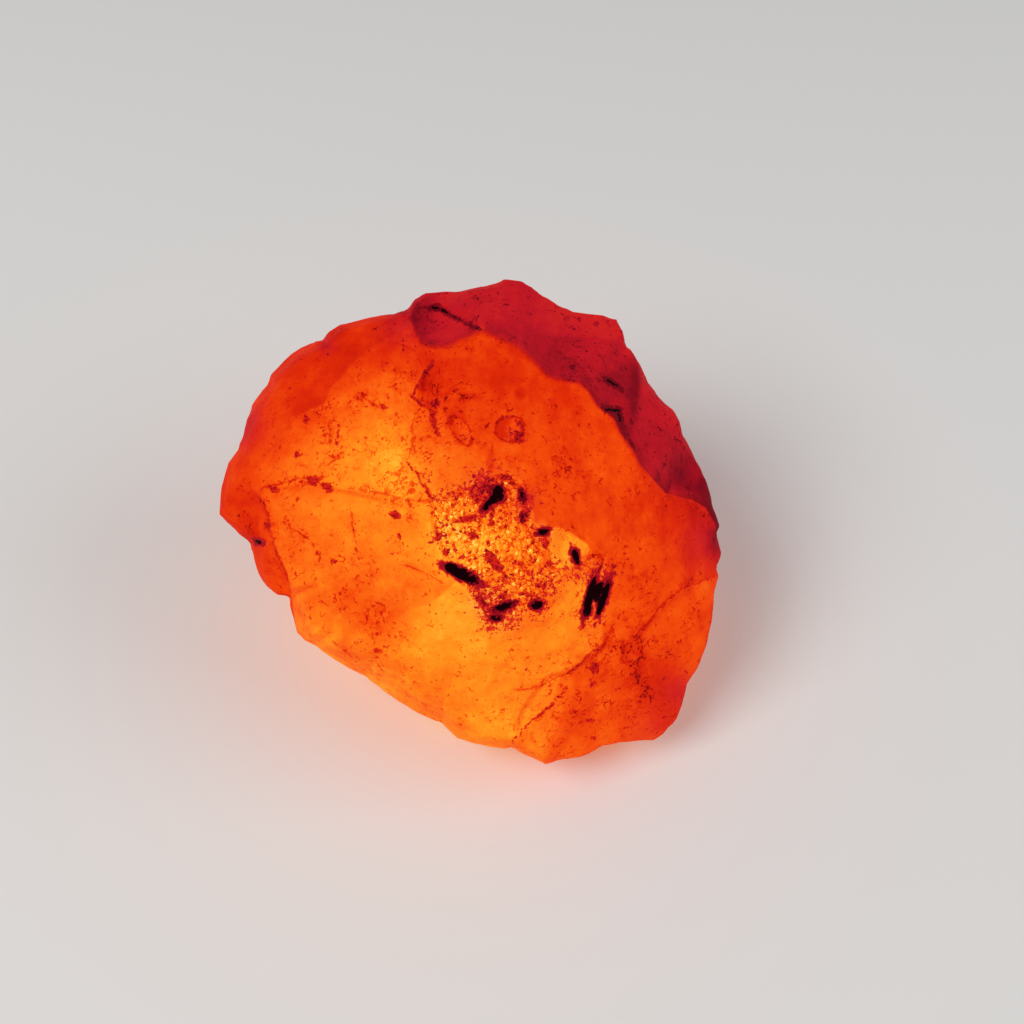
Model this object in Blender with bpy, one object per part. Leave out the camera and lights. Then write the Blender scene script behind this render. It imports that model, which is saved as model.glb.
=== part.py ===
"""A rough sapphire: one broken lump of cloudy orange corundum, lying on the flat parting face under it.

The lump is laid out face on, in millimetres: across to the right, up the face, and out of it. A fan of
rays from its middle finds the surface, because every ray leaves it once. Each ray stops at the rounded
body or at the first fracture plane in its way. The points are then drawn out to the outline, the margins
of the face are broken down to it, and ledges, cracks, the granular hollow and its pits are pressed into
the face. Last, the lump is set in perspective and leaned back on its underside, which a Boolean cuts flat.
"""

import math

import bmesh
import bpy
import numpy as np
from mathutils import Vector, noise

MM = 0.001
NAME = "sapphire"

# How the face is set: it leans back by this much, and it is laid out as seen from this far in front of
# the middle.
FACE_ELEVATION = math.radians(50)
EYE_DISTANCE = 142.0

# The rounded body: its reach in front of and behind the outline, and how square its shoulders are.
FRONT_DEPTH = 20.5
BACK_DEPTH = 21.0
BODY_POWER = 2.3
BREAK_SHARPNESS = 60

# The middle of the outline stands this far above the flat underside.
RESTING_HEIGHT = 17.0

# The fan of rays is an icosphere of this level, and the finished solid has about this many triangles.
RAY_LEVEL = 7
TRIANGLES = 8200

# Counts of slices round the outline, of crest points in a running mean, and of smoothing passes on the
# margins.
SLICES = 180
CREST_MEAN = 101
MARGIN_PASSES = 10

# The outline of the lump, counter-clockwise from the right, as (across, up).
OUTLINE = [
    (25.2, -3.1), (24.8, -1.2), (25.0, -0.4), (24.3, 1.9), (23.6, 4.4), (22.4, 6.7), (21.3, 8.8),
    (21.0, 10.1), (20.4, 11.2), (18.9, 12.6), (17.9, 14.0), (16.5, 16.8), (15.7, 17.8), (15.4, 19.2),
    (14.6, 20.3), (13.4, 20.8), (10.4, 21.1), (9.1, 21.6), (7.2, 22.8), (6.2, 23.6), (5.2, 24.1),
    (3.4, 24.3), (1.5, 23.7), (-1.2, 23.1), (-4.5, 22.9), (-5.6, 22.3), (-6.4, 21.4), (-7.6, 20.9),
    (-11.0, 20.3), (-13.0, 19.8), (-14.2, 19.0), (-15.0, 18.3), (-15.5, 18.3), (-17.7, 17.0),
    (-19.9, 14.8), (-20.4, 13.7), (-21.7, 12.0), (-22.4, 10.3), (-22.8, 8.6), (-23.3, 7.4), (-24.2, 6.0),
    (-24.9, 3.5), (-25.1, 0.8), (-24.5, -0.1), (-22.3, -2.1), (-21.8, -3.1), (-21.2, -5.1),
    (-20.5, -6.4), (-19.5, -7.3), (-18.3, -7.6), (-17.9, -9.0), (-17.3, -11.0), (-16.6, -11.8),
    (-15.5, -12.4), (-13.8, -13.6), (-10.5, -15.4), (-8.0, -17.3), (-5.4, -19.0), (-3.0, -20.1),
    (-1.3, -21.6), (2.2, -22.5), (4.2, -22.7), (5.8, -23.5), (7.6, -24.2), (9.0, -23.8), (11.2, -23.4),
    (13.2, -22.5), (15.2, -22.0), (18.2, -21.8), (19.6, -21.1), (20.8, -19.6), (21.4, -17.6),
    (21.8, -16.0), (22.8, -14.6), (23.7, -12.2), (24.3, -9.5), (24.5, -7.0), (24.9, -5.4), (24.8, -4.4),
]

# The margins of the face: past each crest the surface drops by the step, and then falls away as a facet
# of this slope. The crests run counter-clockwise, and a step fades out at both ends of its crest.
MARGINS = {
    "dark_band": {
        "crest": [
            (26.0, -2.0), (24.9, -0.9), (24.4, 0.2), (23.5, 1.6), (22.3, 2.2), (19.6, 2.9), (18.1, 4.6),
            (17.1, 5.7), (16.3, 7.3), (15.1, 8.9), (14.5, 10.3), (12.7, 11.7), (11.9, 13.1), (11.0, 13.9),
            (8.0, 14.5), (6.5, 16.0), (4.9, 17.5), (1.2, 19.2), (-0.7, 18.4), (-2.1, 17.7), (-3.7, 17.6),
            (-4.8, 18.0), (-5.4, 19.1), (-6.1, 21.3), (-6.6, 23.0),
        ],
        "step": 0.3, "slope": 1.6,
    },
    "left_rim": {
        "crest": [
            (-5.6, 22.6), (-6.0, 20.5), (-7.5, 18.8), (-10.0, 17.4), (-12.0, 16.0), (-12.5, 15.0),
            (-14.0, 13.4), (-14.6, 11.9), (-16.0, 11.4), (-17.5, 10.4), (-18.3, 8.9), (-19.9, 4.8),
            (-20.8, 2.9), (-22.5, 0.6),
        ],
        "step": 0.45, "slope": 0.9,
    },
    "left_lobe": {
        "crest": [
            (-22.5, 5.2), (-21.0, 2.4), (-20.2, 0.7), (-19.7, -2.1), (-18.3, -5.3), (-17.8, -7.5), (-17.6, -9.6),
        ],
        "step": 2.2, "slope": 1.1,
    },
}

# A facet levels off softly at this height over the outline, so that it leaves no burr there.
FACET_FOOT = 1.5

# The fracture planes, as (the way it faces round the outline, its lean out of the face, both in degrees,
# and its distance from the middle).
FRACTURES = {
    "front_right": (50, 70, 17.6),
    "front_left": (214, 65, 17.4),
    "front_upper_left": (130, 64, 17.3),
    "front_foot": (270, 60, 17.8),
    "front_low_right": (340, 58, 18.6),
    "lower_right_bevel": (313, 41, 21.4),
    "right_shoulder": (2, 36, 21.8),
    "lower_left_undercut": (228, -30, 17.6),
    "foot_undercut": (281, -20, 22.4),
    "right_undercut": (335, -28, 22.0),
    "back_right": (28, -34, 20.6),
    "back_top": (93, -30, 20.2),
    "back_top_left": (138, -42, 20.0),
    "back_left": (176, -24, 22.2),
    "back_heel": (60, -68, 18.6),
    "back_middle": (150, -78, 18.4),
}
FRACTURE_WANDER = 0.4

# Ledges: the face steps down by drop on the left of the line and comes back within reach of it.
LEDGES = {
    "speckled_step": {
        "line": [(-20.8, 2.5), (-17.0, 4.2), (-15.0, 3.7), (-12.0, 3.0), (-7.0, 1.7), (-4.0, 0.2)],
        "drop": 0.45, "reach": 4.0,
    },
    "foot_step": {
        "line": [(14.0, -11.8), (12.3, -13.4), (10.5, -14.6), (7.7, -15.5), (5.5, -18.3), (4.2, -21.3)],
        "drop": 0.6, "reach": 4.0,
    },
    "bench": {
        "line": [(13.0, -6.5), (13.6, -3.5), (11.5, -1.6), (8.6, -0.6)],
        "drop": 0.5, "reach": 3.0,
    },
    "right_crease": {
        "line": [(24.5, -5.0), (20.0, -8.0), (18.0, -10.1), (16.1, -12.1)],
        "drop": 0.35, "reach": 4.5,
    },
    "upper_scar": {
        "line": [(-3.4, 9.0), (-4.6, 11.6), (-4.2, 14.4), (-5.6, 17.2), (-8.6, 18.6)],
        "drop": 0.5, "reach": 5.0,
    },
}
LEDGE_SOFTNESS = 0.2

# Cracks: grooves of this width and depth.
CRACKS = {
    "notch": {"line": [(-5.9, 21.7), (-3.5, 21.3), (-2.5, 20.7), (-1.3, 20.2), (0.0, 19.6), (1.7, 19.1)],
              "width": 0.35, "depth": 1.1},
    "head": {"line": [(-3.6, 15.9), (-4.4, 13.8), (-4.0, 11.8), (-3.5, 10.5), (-3.8, 8.8)],
             "width": 0.4, "depth": 0.5},
    "band": {"line": [(13.2, 11.9), (14.7, 11.7), (15.5, 9.7)], "width": 0.4, "depth": 1.0},
}

# Scoops: rounded dips, as (across, up, half length, half width, turn in degrees, depth).
SCOOPS = {
    "notch": (-2.2, 19.6, 4.1, 2.7, -5, 1.7),
    "ring": (-1.0, 9.2, 1.5, 0.95, -55, 0.35),
    "cup": (3.8, 9.4, 1.5, 1.4, 0, 0.6),
    "upper_dish": (-9.5, 12.5, 4.2, 2.9, 30, 0.45),
    "right_dish": (13.5, 4.5, 5.0, 3.4, -50, 0.55),
    "lower_dish": (-6.0, -10.5, 6.5, 3.6, -32, 0.6),
}

# The granular hollow in the middle of the face, whose floor is lumpy.
HOLLOW = [
    (-4.2, 2.9), (-0.1, 3.5), (1.6, 4.6), (4.0, 4.9), (6.0, 3.4), (6.2, 1.6), (6.4, 0.1), (7.4, -1.3),
    (8.3, -2.8), (9.2, -4.5), (9.1, -5.9), (7.5, -7.9), (4.6, -9.5), (2.2, -9.9), (0.6, -8.2), (-0.4, -6.6),
    (-2.7, -3.6), (-3.2, -2.0), (-3.9, -0.5),
]
HOLLOW_DEPTH = 0.95
GRAIN_SIZE = 1.5
GRAIN_HEIGHT = 0.45

# Pits, as (across, up, half length, half width, turn in degrees, depth).
PITS = {
    "long_slot": (-0.8, -5.1, 2.0, 0.62, -26, 1.8),
    "cave": (2.85, 2.95, 0.85, 0.6, 100, 1.8),
    "cave_tail": (1.85, 1.85, 0.95, 0.38, 45, 1.3),
    "right_cave": (5.2, 2.7, 0.85, 0.38, -80, 1.3),
    "right_cave_foot": (5.25, 0.5, 0.55, 0.3, 85, 1.0),
    "eave": (7.3, -0.9, 0.8, 0.4, 10, 1.1),
    "oval": (10.5, -3.35, 0.85, 0.38, -75, 1.2),
    "left_slot": (12.0, -7.4, 2.1, 0.42, 75, 1.8),
    "right_slot": (13.4, -7.5, 1.9, 0.36, 72, 1.8),
    "slot_neck": (12.9, -6.6, 0.8, 0.45, 60, 1.5),
    "foot_slot": (3.4, -8.4, 1.2, 0.45, 22, 1.4),
    "foot_hole": (2.6, -9.5, 0.65, 0.35, 0, 1.1),
    "bead": (6.7, -8.2, 0.65, 0.45, 5, 1.2),
    "lobe_pit": (-21.15, -1.95, 0.4, 0.25, -20, 0.8),
}

# Broken surface: the size and depth of its scoops, large and small, in front and at the back, and of its
# ripple.
BREAK_SIZES = (9.0, 4.0)
FRONT_BREAKS = (0.30, 0.10)
BACK_BREAKS = (1.70, 0.55)
RIPPLE_SIZE = 2.4
RIPPLE_DEPTH = 0.12

COLOUR = (0.85, 0.13, 0.012, 1.0)
ROUGHNESS = 0.55


def ramp(value, low, high):
    """0 below low, 1 above high and a smooth curve between."""
    share = np.clip((value - low) / (high - low), 0, 1)
    return share * share * (3 - 2 * share)


def softly_above(value, foot):
    """The value, which levels off at the foot where it would fall below it."""
    over = value - foot
    return foot + (over + np.sqrt(over * over + 1.0)) / 2


def swell(points, size, seed):
    """Smooth noise, from about -1 to 1, whose swells are this many millimetres across."""
    shift = Vector((17.3, -9.1, 5.7)) * seed
    return np.array([noise.noise(Vector(point) / size + shift) for point in points])


def bowls(points, size, seed):
    """Shallow bowls of this size: 1 in the middle of each, down to 0 on the sharp ridges where they meet."""
    shift = Vector((3.1, 11.9, -7.7)) * seed
    squares = np.array([noise.voronoi(Vector(point) / size + shift)[0][0] ** 2 for point in points])
    return np.maximum(1 - 1.6 * squares, 0)


def radius_of(outline, angle):
    """How far an outline is from the middle at each angle round it."""
    corners = np.array(outline, float)
    turns = np.arctan2(corners[:, 1], corners[:, 0])
    order = np.argsort(turns)
    return np.interp(angle, turns[order], np.hypot(*corners.T)[order], period=2 * math.pi)


def line_distance(across, up, line):
    """Distance from a line of several points, positive on its left, and how far along it, from 0 to 1."""
    corners = np.array(line, float)
    runs = np.diff(corners, axis=0)
    lengths = np.hypot(*runs.T)
    starts = np.concatenate([[0], np.cumsum(lengths)])
    nearest = np.full(len(across), 1e9)
    distance, along = np.zeros(len(across)), np.zeros(len(across))
    for (x, y), (dx, dy), length, start in zip(corners, runs, lengths, starts):
        share = np.clip(((across - x) * dx + (up - y) * dy) / length**2, 0, 1)
        away = np.hypot(across - x - share * dx, up - y - share * dy)
        beside = (dx * (up - y) - dy * (across - x)) / length
        # At a corner two runs are as near, and the one that the point is more beside gives the side.
        score = away + 0.001 * (away - np.abs(beside))
        closer = score < nearest
        nearest = np.where(closer, score, nearest)
        distance = np.where(closer, away * np.sign(beside), distance)
        along = np.where(closer, (start + share * length) / starts[-1], along)
    return distance, along


def depth_inside(across, up, outline):
    """Distance from a closed outline, positive inside it."""
    inside = np.zeros(len(across), bool)
    for (x0, y0), (x1, y1) in zip(outline, outline[1:] + outline[:1]):
        if y0 != y1:
            crossing = x0 + (up - y0) * (x1 - x0) / (y1 - y0)
            inside ^= ((y0 > up) != (y1 > up)) & (across < crossing)
    distance = np.abs(line_distance(across, up, outline + outline[:1])[0])
    return np.where(inside, distance, -distance)


def oval_share(across, up, oval):
    """0 in the middle of an oval (across, up, half length, half width, turn), and 1 on its edge."""
    x, y, half_length, half_width, turn = oval
    c, s = math.cos(math.radians(turn)), math.sin(math.radians(turn))
    dx, dy = across - x, up - y
    return np.hypot((dx * c + dy * s) / half_length, (dy * c - dx * s) / half_width)


def round_body(rays):
    """The distance to the rounded body along each ray."""
    across, up, out = rays.T
    flat = np.hypot(across, up) / radius_of(OUTLINE, np.arctan2(up, across))
    deep = np.abs(out) / np.where(out > 0, FRONT_DEPTH, BACK_DEPTH)
    return (flat**BODY_POWER + deep**BODY_POWER) ** (-1 / BODY_POWER)


def broken_body(rays):
    """The distance along each ray to the body or the first fracture plane, with slightly worn edges."""
    distance = round_body(rays)
    spots = rays * distance[:, None]
    nearness = distance**-BREAK_SHARPNESS
    for number, (turn, lean, away) in enumerate(FRACTURES.values()):
        turn, lean = math.radians(turn), math.radians(lean)
        facing = np.array([math.cos(lean) * math.cos(turn), math.cos(lean) * math.sin(turn), math.sin(lean)])
        wandering = away + FRACTURE_WANDER * swell(spots, 7.0, number + 1)
        nearness += (np.maximum(rays @ facing, 0) / wandering) ** BREAK_SHARPNESS
    return nearness ** (-1 / BREAK_SHARPNESS)


def breaks(points):
    """How deep the scoops and the ripple of the broken surface lie: shallow in front and deep at the back."""
    front = ramp(points[:, 2], -5.0, 4.0)
    depth = RIPPLE_DEPTH * swell(points, RIPPLE_SIZE, 32)
    for number, size in enumerate(BREAK_SIZES):
        deep = BACK_BREAKS[number] + (FRONT_BREAKS[number] - BACK_BREAKS[number]) * front
        depth += deep * bowls(points, size, 33 + number)
    return depth


def widest_reach(points):
    """How far the points reach from the middle, at each point's own angle round the outline."""
    angle = np.arctan2(points[:, 1], points[:, 0])
    reach = np.hypot(points[:, 0], points[:, 1])
    slices = np.floor(angle / (2 * math.pi) * SLICES).astype(int) % SLICES
    widest = [reach[slices == number].max() for number in range(SLICES)]
    middles = (np.arange(SLICES) + 0.5) * 2 * math.pi / SLICES
    return np.interp(angle, middles, widest, period=2 * math.pi)


def smoothed(values, width):
    """A running mean of this many values."""
    padded = np.pad(values, width // 2, mode="edge")
    return np.convolve(padded, np.full(width, 1 / width), mode="valid")[:len(values)]


def drawn_out(points):
    """The points spread in the plane of the face, so that its outermost ones lie on the outline again."""
    widest = widest_reach(points)
    outline = radius_of(OUTLINE, np.arctan2(points[:, 1], points[:, 0]))
    share = np.minimum(np.hypot(points[:, 0], points[:, 1]) / widest, 1) ** 3
    drawn = points.copy()
    drawn[:, :2] *= (1 + (outline / widest - 1) * share)[:, None]
    return drawn


def break_margins(points):
    """The face broken down past each crest, from the height that it has there."""
    across, up, out = points.T
    broken = out.copy()
    for margin in MARGINS.values():
        away, along = line_distance(across, up, margin["crest"])
        on_crest = (out > 0) & (np.abs(away) < 0.6)
        order = np.argsort(along[on_crest])
        height = np.interp(along, along[on_crest][order], smoothed(out[on_crest][order], CREST_MEAN))
        step = margin["step"] * ramp(along, 0, 0.25) * ramp(1 - along, 0, 0.25)
        facet = softly_above(height - step + margin["slope"] * away, FACET_FOOT)
        broken = np.where(away < 0, np.minimum(broken, facet), broken)
    return np.column_stack([across, up, broken])


def pressed_in(across, up):
    """How deep the ledges, cracks, scoops, hollow and pits press the face in."""
    depth = np.zeros(len(across))
    for ledge in LEDGES.values():
        away, along = line_distance(across, up, ledge["line"])
        ends = ramp(along, 0, 0.15) * ramp(1 - along, 0, 0.15)
        step = ramp(away, -LEDGE_SOFTNESS, LEDGE_SOFTNESS)
        depth += ledge["drop"] * step * ends * np.exp(-((away / ledge["reach"]) ** 2))
    for crack in CRACKS.values():
        away, along = line_distance(across, up, crack["line"])
        ends = ramp(along, 0, 0.2) * ramp(1 - along, 0, 0.2)
        depth += crack["depth"] * ends * np.exp(-((away / crack["width"]) ** 2))
    for *oval, deep in SCOOPS.values():
        depth += deep * (1 - ramp(oval_share(across, up, oval), 0.1, 1.0))
    for *oval, deep in PITS.values():
        depth += deep * (1 - ramp(oval_share(across, up, oval), 0.7, 1.15))
    return depth


def hollow_depth(points):
    """How deep the lumpy floor of the granular hollow lies."""
    floor = ramp(depth_inside(points[:, 0], points[:, 1], HOLLOW), -0.15, 0.8)
    lumps = bowls(points, GRAIN_SIZE, 41) + 0.5 * swell(points, 0.7 * GRAIN_SIZE, 42)
    return floor * (HOLLOW_DEPTH - GRAIN_HEIGHT * lumps)


def stone_points(rays):
    """The points of the stone's surface, in millimetres, for unit rays laid out face on."""
    points = rays * broken_body(rays)[:, None]
    points = break_margins(drawn_out(points - rays * breaks(points)[:, None]))
    face = ramp(points[:, 2], 2.0, 8.0)
    points[:, 2] -= face * (pressed_in(points[:, 0], points[:, 1]) + hollow_depth(points))
    points[:, :2] *= 1 - points[:, 2:] / EYE_DISTANCE
    across, up, out = points.T
    rise, run = math.sin(FACE_ELEVATION), math.cos(FACE_ELEVATION)
    return np.column_stack([across, up * rise - out * run, up * run + out * rise + RESTING_HEIGHT])


def margin_weights(rays):
    """1 on the broken margins of the face, away from their crests, and 0 elsewhere."""
    points = drawn_out(rays * broken_body(rays)[:, None])
    weight = np.zeros(len(points))
    for margin in MARGINS.values():
        away = line_distance(points[:, 0], points[:, 1], margin["crest"])[0]
        weight = np.maximum(weight, ramp(-away, 0.3, 1.5))
    return weight * ramp(points[:, 2], 0.5, 3.0)


def new_collection(name):
    collection = bpy.data.collections.new(name)
    bpy.context.scene.collection.children.link(collection)
    return collection


def stone_material():
    material = bpy.data.materials.new("orange corundum")
    material.use_nodes = True
    shader = material.node_tree.nodes["Principled BSDF"]
    shader.inputs["Base Color"].default_value = COLOUR
    shader.inputs["Roughness"].default_value = ROUGHNESS
    material.diffuse_color = COLOUR
    return material


def underside_cutter(collection):
    """A block whose top is the flat that the stone lies on."""
    side = 4 * BACK_DEPTH * MM
    bpy.ops.mesh.primitive_cube_add(size=side, location=(0, 0, -side / 2))
    cutter = bpy.context.object
    cutter.name = "underside_cutter"
    cutter.hide_render = True
    cutter.display_type = "WIRE"
    for old in cutter.users_collection:
        old.objects.unlink(cutter)
    collection.objects.link(cutter)
    return cutter


def centred(points):
    """The points moved so that the part of them above the underside stands about the origin."""
    above = points[points[:, 2] > 0, :2]
    return points - np.append((above.min(axis=0) + above.max(axis=0)) / 2, 0)


def stone_mesh():
    """The displaced icosphere and, for each of its points, the weight of the smoothing."""
    sphere = bmesh.new()
    bmesh.ops.create_icosphere(sphere, subdivisions=RAY_LEVEL, radius=1)
    rays = np.array([vertex.co.normalized() for vertex in sphere.verts])
    for vertex, point in zip(sphere.verts, centred(stone_points(rays)) * MM):
        vertex.co = point
    mesh = bpy.data.meshes.new(NAME)
    sphere.to_mesh(mesh)
    sphere.free()
    mesh.shade_smooth()
    return mesh, margin_weights(rays)


def build_stone(collection, cutter):
    mesh, weights = stone_mesh()
    mesh.materials.append(stone_material())
    stone = bpy.data.objects.new(NAME, mesh)
    collection.objects.link(stone)
    margins = stone.vertex_groups.new(name="margins")
    for number in np.flatnonzero(weights > 0.01):
        margins.add([int(number)], float(weights[number]), "REPLACE")
    smooth = stone.modifiers.new("margins", "SMOOTH")
    smooth.vertex_group = margins.name
    smooth.factor = 0.5
    smooth.iterations = MARGIN_PASSES
    decimate = stone.modifiers.new("facets", "DECIMATE")
    decimate.ratio = TRIANGLES / len(mesh.polygons)
    cut = stone.modifiers.new("underside", "BOOLEAN")
    cut.operation = "DIFFERENCE"
    cut.solver = "EXACT"
    cut.object = cutter
    return stone


def main():
    for thing in list(bpy.data.objects):
        bpy.data.objects.remove(thing)
    build_stone(new_collection(NAME), underside_cutter(new_collection("cutters")))


if __name__ == "__main__":
    main()
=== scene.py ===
"""Dresses the rough sapphire: the broken, cloudy orange stone with its dark pits, and the fine crystals.

The stone's surface follows the same rule as its solid, at a much finer step. It is laid out face on, in
millimetres: across to the right, up the face, and out of it. A fan of rays from its middle finds the
surface, the points are drawn out to the outline, the margins are broken down, and the marks of the face are
pressed in. Every point also keeps how brightly it glows and how far it is from each mark, and the material
draws the marks from that. The glow is painted light: the light of a lamp under the stone shining through it,
painted into the stone's colour and emission, with painted light and shade on its relief, facets and sides.
"""

import math

import bmesh
import bpy
import numpy as np
from bpy.props import FloatProperty, FloatVectorProperty, IntProperty, PointerProperty
from bpy.types import Operator, Panel, PropertyGroup
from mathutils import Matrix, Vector, noise


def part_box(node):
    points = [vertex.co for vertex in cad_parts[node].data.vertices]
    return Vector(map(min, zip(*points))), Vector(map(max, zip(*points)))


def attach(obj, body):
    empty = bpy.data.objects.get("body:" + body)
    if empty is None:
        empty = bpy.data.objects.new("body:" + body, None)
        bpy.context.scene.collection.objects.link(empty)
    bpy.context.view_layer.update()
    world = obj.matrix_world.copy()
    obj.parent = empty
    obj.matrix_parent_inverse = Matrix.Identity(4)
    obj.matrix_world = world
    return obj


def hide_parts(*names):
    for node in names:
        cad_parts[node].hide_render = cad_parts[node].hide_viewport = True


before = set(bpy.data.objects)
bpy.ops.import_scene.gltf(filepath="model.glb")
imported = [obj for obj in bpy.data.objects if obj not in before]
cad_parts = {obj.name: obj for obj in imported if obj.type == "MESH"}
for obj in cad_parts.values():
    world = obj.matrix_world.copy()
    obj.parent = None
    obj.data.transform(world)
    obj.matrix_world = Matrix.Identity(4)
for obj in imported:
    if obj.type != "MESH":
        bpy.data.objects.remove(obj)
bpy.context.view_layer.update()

bl_info = {
    "name": "Rough Sapphire",
    "version": (1, 0, 0),
    "blender": (4, 5, 0),
    "location": "View3D > Sidebar > Sapphire",
    "description": "Builds the look of a rough orange sapphire round its solid",
    "category": "Object",
}

NODE = "sapphire"
MM = 0.001

# How the face is set: it leans back by this much, and it is laid out as seen from this far in front of
# the middle.
FACE_ELEVATION = math.radians(50)
FACE_NORMAL = (0, -math.cos(FACE_ELEVATION), math.sin(FACE_ELEVATION))
EYE_DISTANCE = 142.0

# The rounded body: its reach in front of and behind the outline, how square its shoulders are, and how
# sharp the edges of its fracture planes.
FRONT_DEPTH = 20.5
BACK_DEPTH = 21.0
BODY_POWER = 2.3
BREAK_SHARPNESS = 60

# The middle of the outline stands this far above the flat underside, and this far from the middle of the
# stone's box.
RESTING_HEIGHT = 17.0
OUTLINE_MIDDLE = (-0.09, 0.42)

# The fan of rays: the level of its icosphere, how far forward a ray points to be split once more, and how
# far inside the hollow, on a face that is this high, to be split again.
RAY_LEVEL = 7
FRONT_SPLIT = 0.40
HOLLOW_SPLIT = -0.6
FACE_HEIGHT = 17.5

# Slices round the outline; how near a crest its points lie, and how many its running mean takes; smoothing
# passes on the margins, and from where they count, away from the crest and up from the outline.
SLICES = 180
CREST_REACH = 0.6
CREST_MEAN = 401
MARGIN_PASSES = 24
MARGIN_AWAY = (0.3, 1.5)
MARGIN_UP = (0.3, 2.5)

# The outline of the lump, counter-clockwise from the right, as (across, up).
OUTLINE = [
    (25.2, -3.1), (24.8, -1.2), (25.0, -0.4), (24.3, 1.9), (23.6, 4.4), (22.4, 6.7), (21.3, 8.8),
    (21.0, 10.1), (20.4, 11.2), (18.9, 12.6), (17.9, 14.0), (16.5, 16.8), (15.7, 17.8), (15.4, 19.2),
    (14.6, 20.3), (13.4, 20.8), (10.4, 21.1), (9.1, 21.6), (7.2, 22.8), (6.2, 23.6), (5.2, 24.1),
    (3.4, 24.3), (1.5, 23.7), (-1.2, 23.1), (-4.5, 22.9), (-5.6, 22.3), (-6.4, 21.4), (-7.6, 20.9),
    (-11.0, 20.3), (-13.0, 19.8), (-14.2, 19.0), (-15.0, 18.3), (-15.5, 18.3), (-17.7, 17.0),
    (-19.9, 14.8), (-20.4, 13.7), (-21.7, 12.0), (-22.4, 10.3), (-22.8, 8.6), (-23.3, 7.4), (-24.2, 6.0),
    (-24.9, 3.5), (-25.1, 0.8), (-24.5, -0.1), (-22.3, -2.1), (-21.8, -3.1), (-21.2, -5.1),
    (-20.5, -6.4), (-19.5, -7.3), (-18.3, -7.6), (-17.9, -9.0), (-17.3, -11.0), (-16.6, -11.8),
    (-15.5, -12.4), (-13.8, -13.6), (-10.5, -15.4), (-8.0, -17.3), (-5.4, -19.0), (-3.0, -20.1),
    (-1.3, -21.6), (2.2, -22.5), (4.2, -22.7), (5.8, -23.5), (7.6, -24.2), (9.0, -23.8), (11.2, -23.4),
    (13.2, -22.5), (15.2, -22.0), (18.2, -21.8), (19.6, -21.1), (20.8, -19.6), (21.4, -17.6),
    (21.8, -16.0), (22.8, -14.6), (23.7, -12.2), (24.3, -9.5), (24.5, -7.0), (24.9, -5.4), (24.8, -4.4),
]

# The margins of the face: past each crest the surface drops by the step, and then falls away as a facet
# of this slope. The crests run counter-clockwise, and a step fades out at both ends of its crest.
MARGINS = {
    "dark_band": {
        "crest": [
            (26.0, -2.0), (24.9, -0.9), (24.4, 0.2), (23.5, 1.6), (22.3, 2.2), (19.6, 2.9), (18.1, 4.6),
            (17.1, 5.7), (16.3, 7.3), (15.1, 8.9), (14.5, 10.3), (12.7, 11.7), (11.9, 13.1), (11.0, 13.9),
            (8.0, 14.5), (6.5, 16.0), (4.9, 17.5), (1.2, 19.2), (-0.7, 18.4), (-2.1, 17.7), (-3.7, 17.6),
            (-4.8, 18.0), (-5.4, 19.1), (-6.1, 21.3), (-6.6, 23.0),
        ],
        "step": 0.3, "slope": 1.6,
    },
    "left_rim": {
        "crest": [
            (-5.6, 22.6), (-6.0, 20.5), (-7.5, 18.8), (-10.0, 17.4), (-12.0, 16.0), (-12.5, 15.0),
            (-14.0, 13.4), (-14.6, 11.9), (-16.0, 11.4), (-17.5, 10.4), (-18.3, 8.9), (-19.9, 4.8),
            (-20.8, 2.9), (-22.5, 0.6),
        ],
        "step": 0.45, "slope": 0.9,
    },
    "left_lobe": {
        "crest": [
            (-22.5, 5.2), (-21.0, 2.4), (-20.2, 0.7), (-19.7, -2.1), (-18.3, -5.3), (-17.8, -7.5),
            (-17.6, -9.6),
        ],
        "step": 2.2, "slope": 1.1,
    },
}

# A facet levels off softly at this height over the outline, so that it leaves no burr there. The shares of
# their lines over which crests, ledges and cracks fade out at both ends.
FACET_FOOT = 1.5
CREST_ENDS = 0.25
LEDGE_ENDS = 0.15
CRACK_ENDS = 0.2

# The fracture planes, as (the way it faces round the outline, its lean out of the face, both in degrees,
# and its distance from the middle). They wander by this much, in swells of this size.
FRACTURES = {
    "front_right": (50, 70, 17.6),
    "front_left": (214, 65, 17.4),
    "front_upper_left": (130, 64, 17.3),
    "front_foot": (270, 60, 17.8),
    "front_low_right": (340, 58, 18.6),
    "lower_right_bevel": (313, 41, 21.4),
    "right_shoulder": (2, 36, 21.8),
    "lower_left_undercut": (228, -30, 17.6),
    "foot_undercut": (281, -20, 22.4),
    "right_undercut": (335, -28, 22.0),
    "back_right": (28, -34, 20.6),
    "back_top": (93, -30, 20.2),
    "back_top_left": (138, -42, 20.0),
    "back_left": (176, -24, 22.2),
    "back_heel": (60, -68, 18.6),
    "back_middle": (150, -78, 18.4),
}
FRACTURE_WANDER = 0.4
FRACTURE_SWELLS = 7.0

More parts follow.
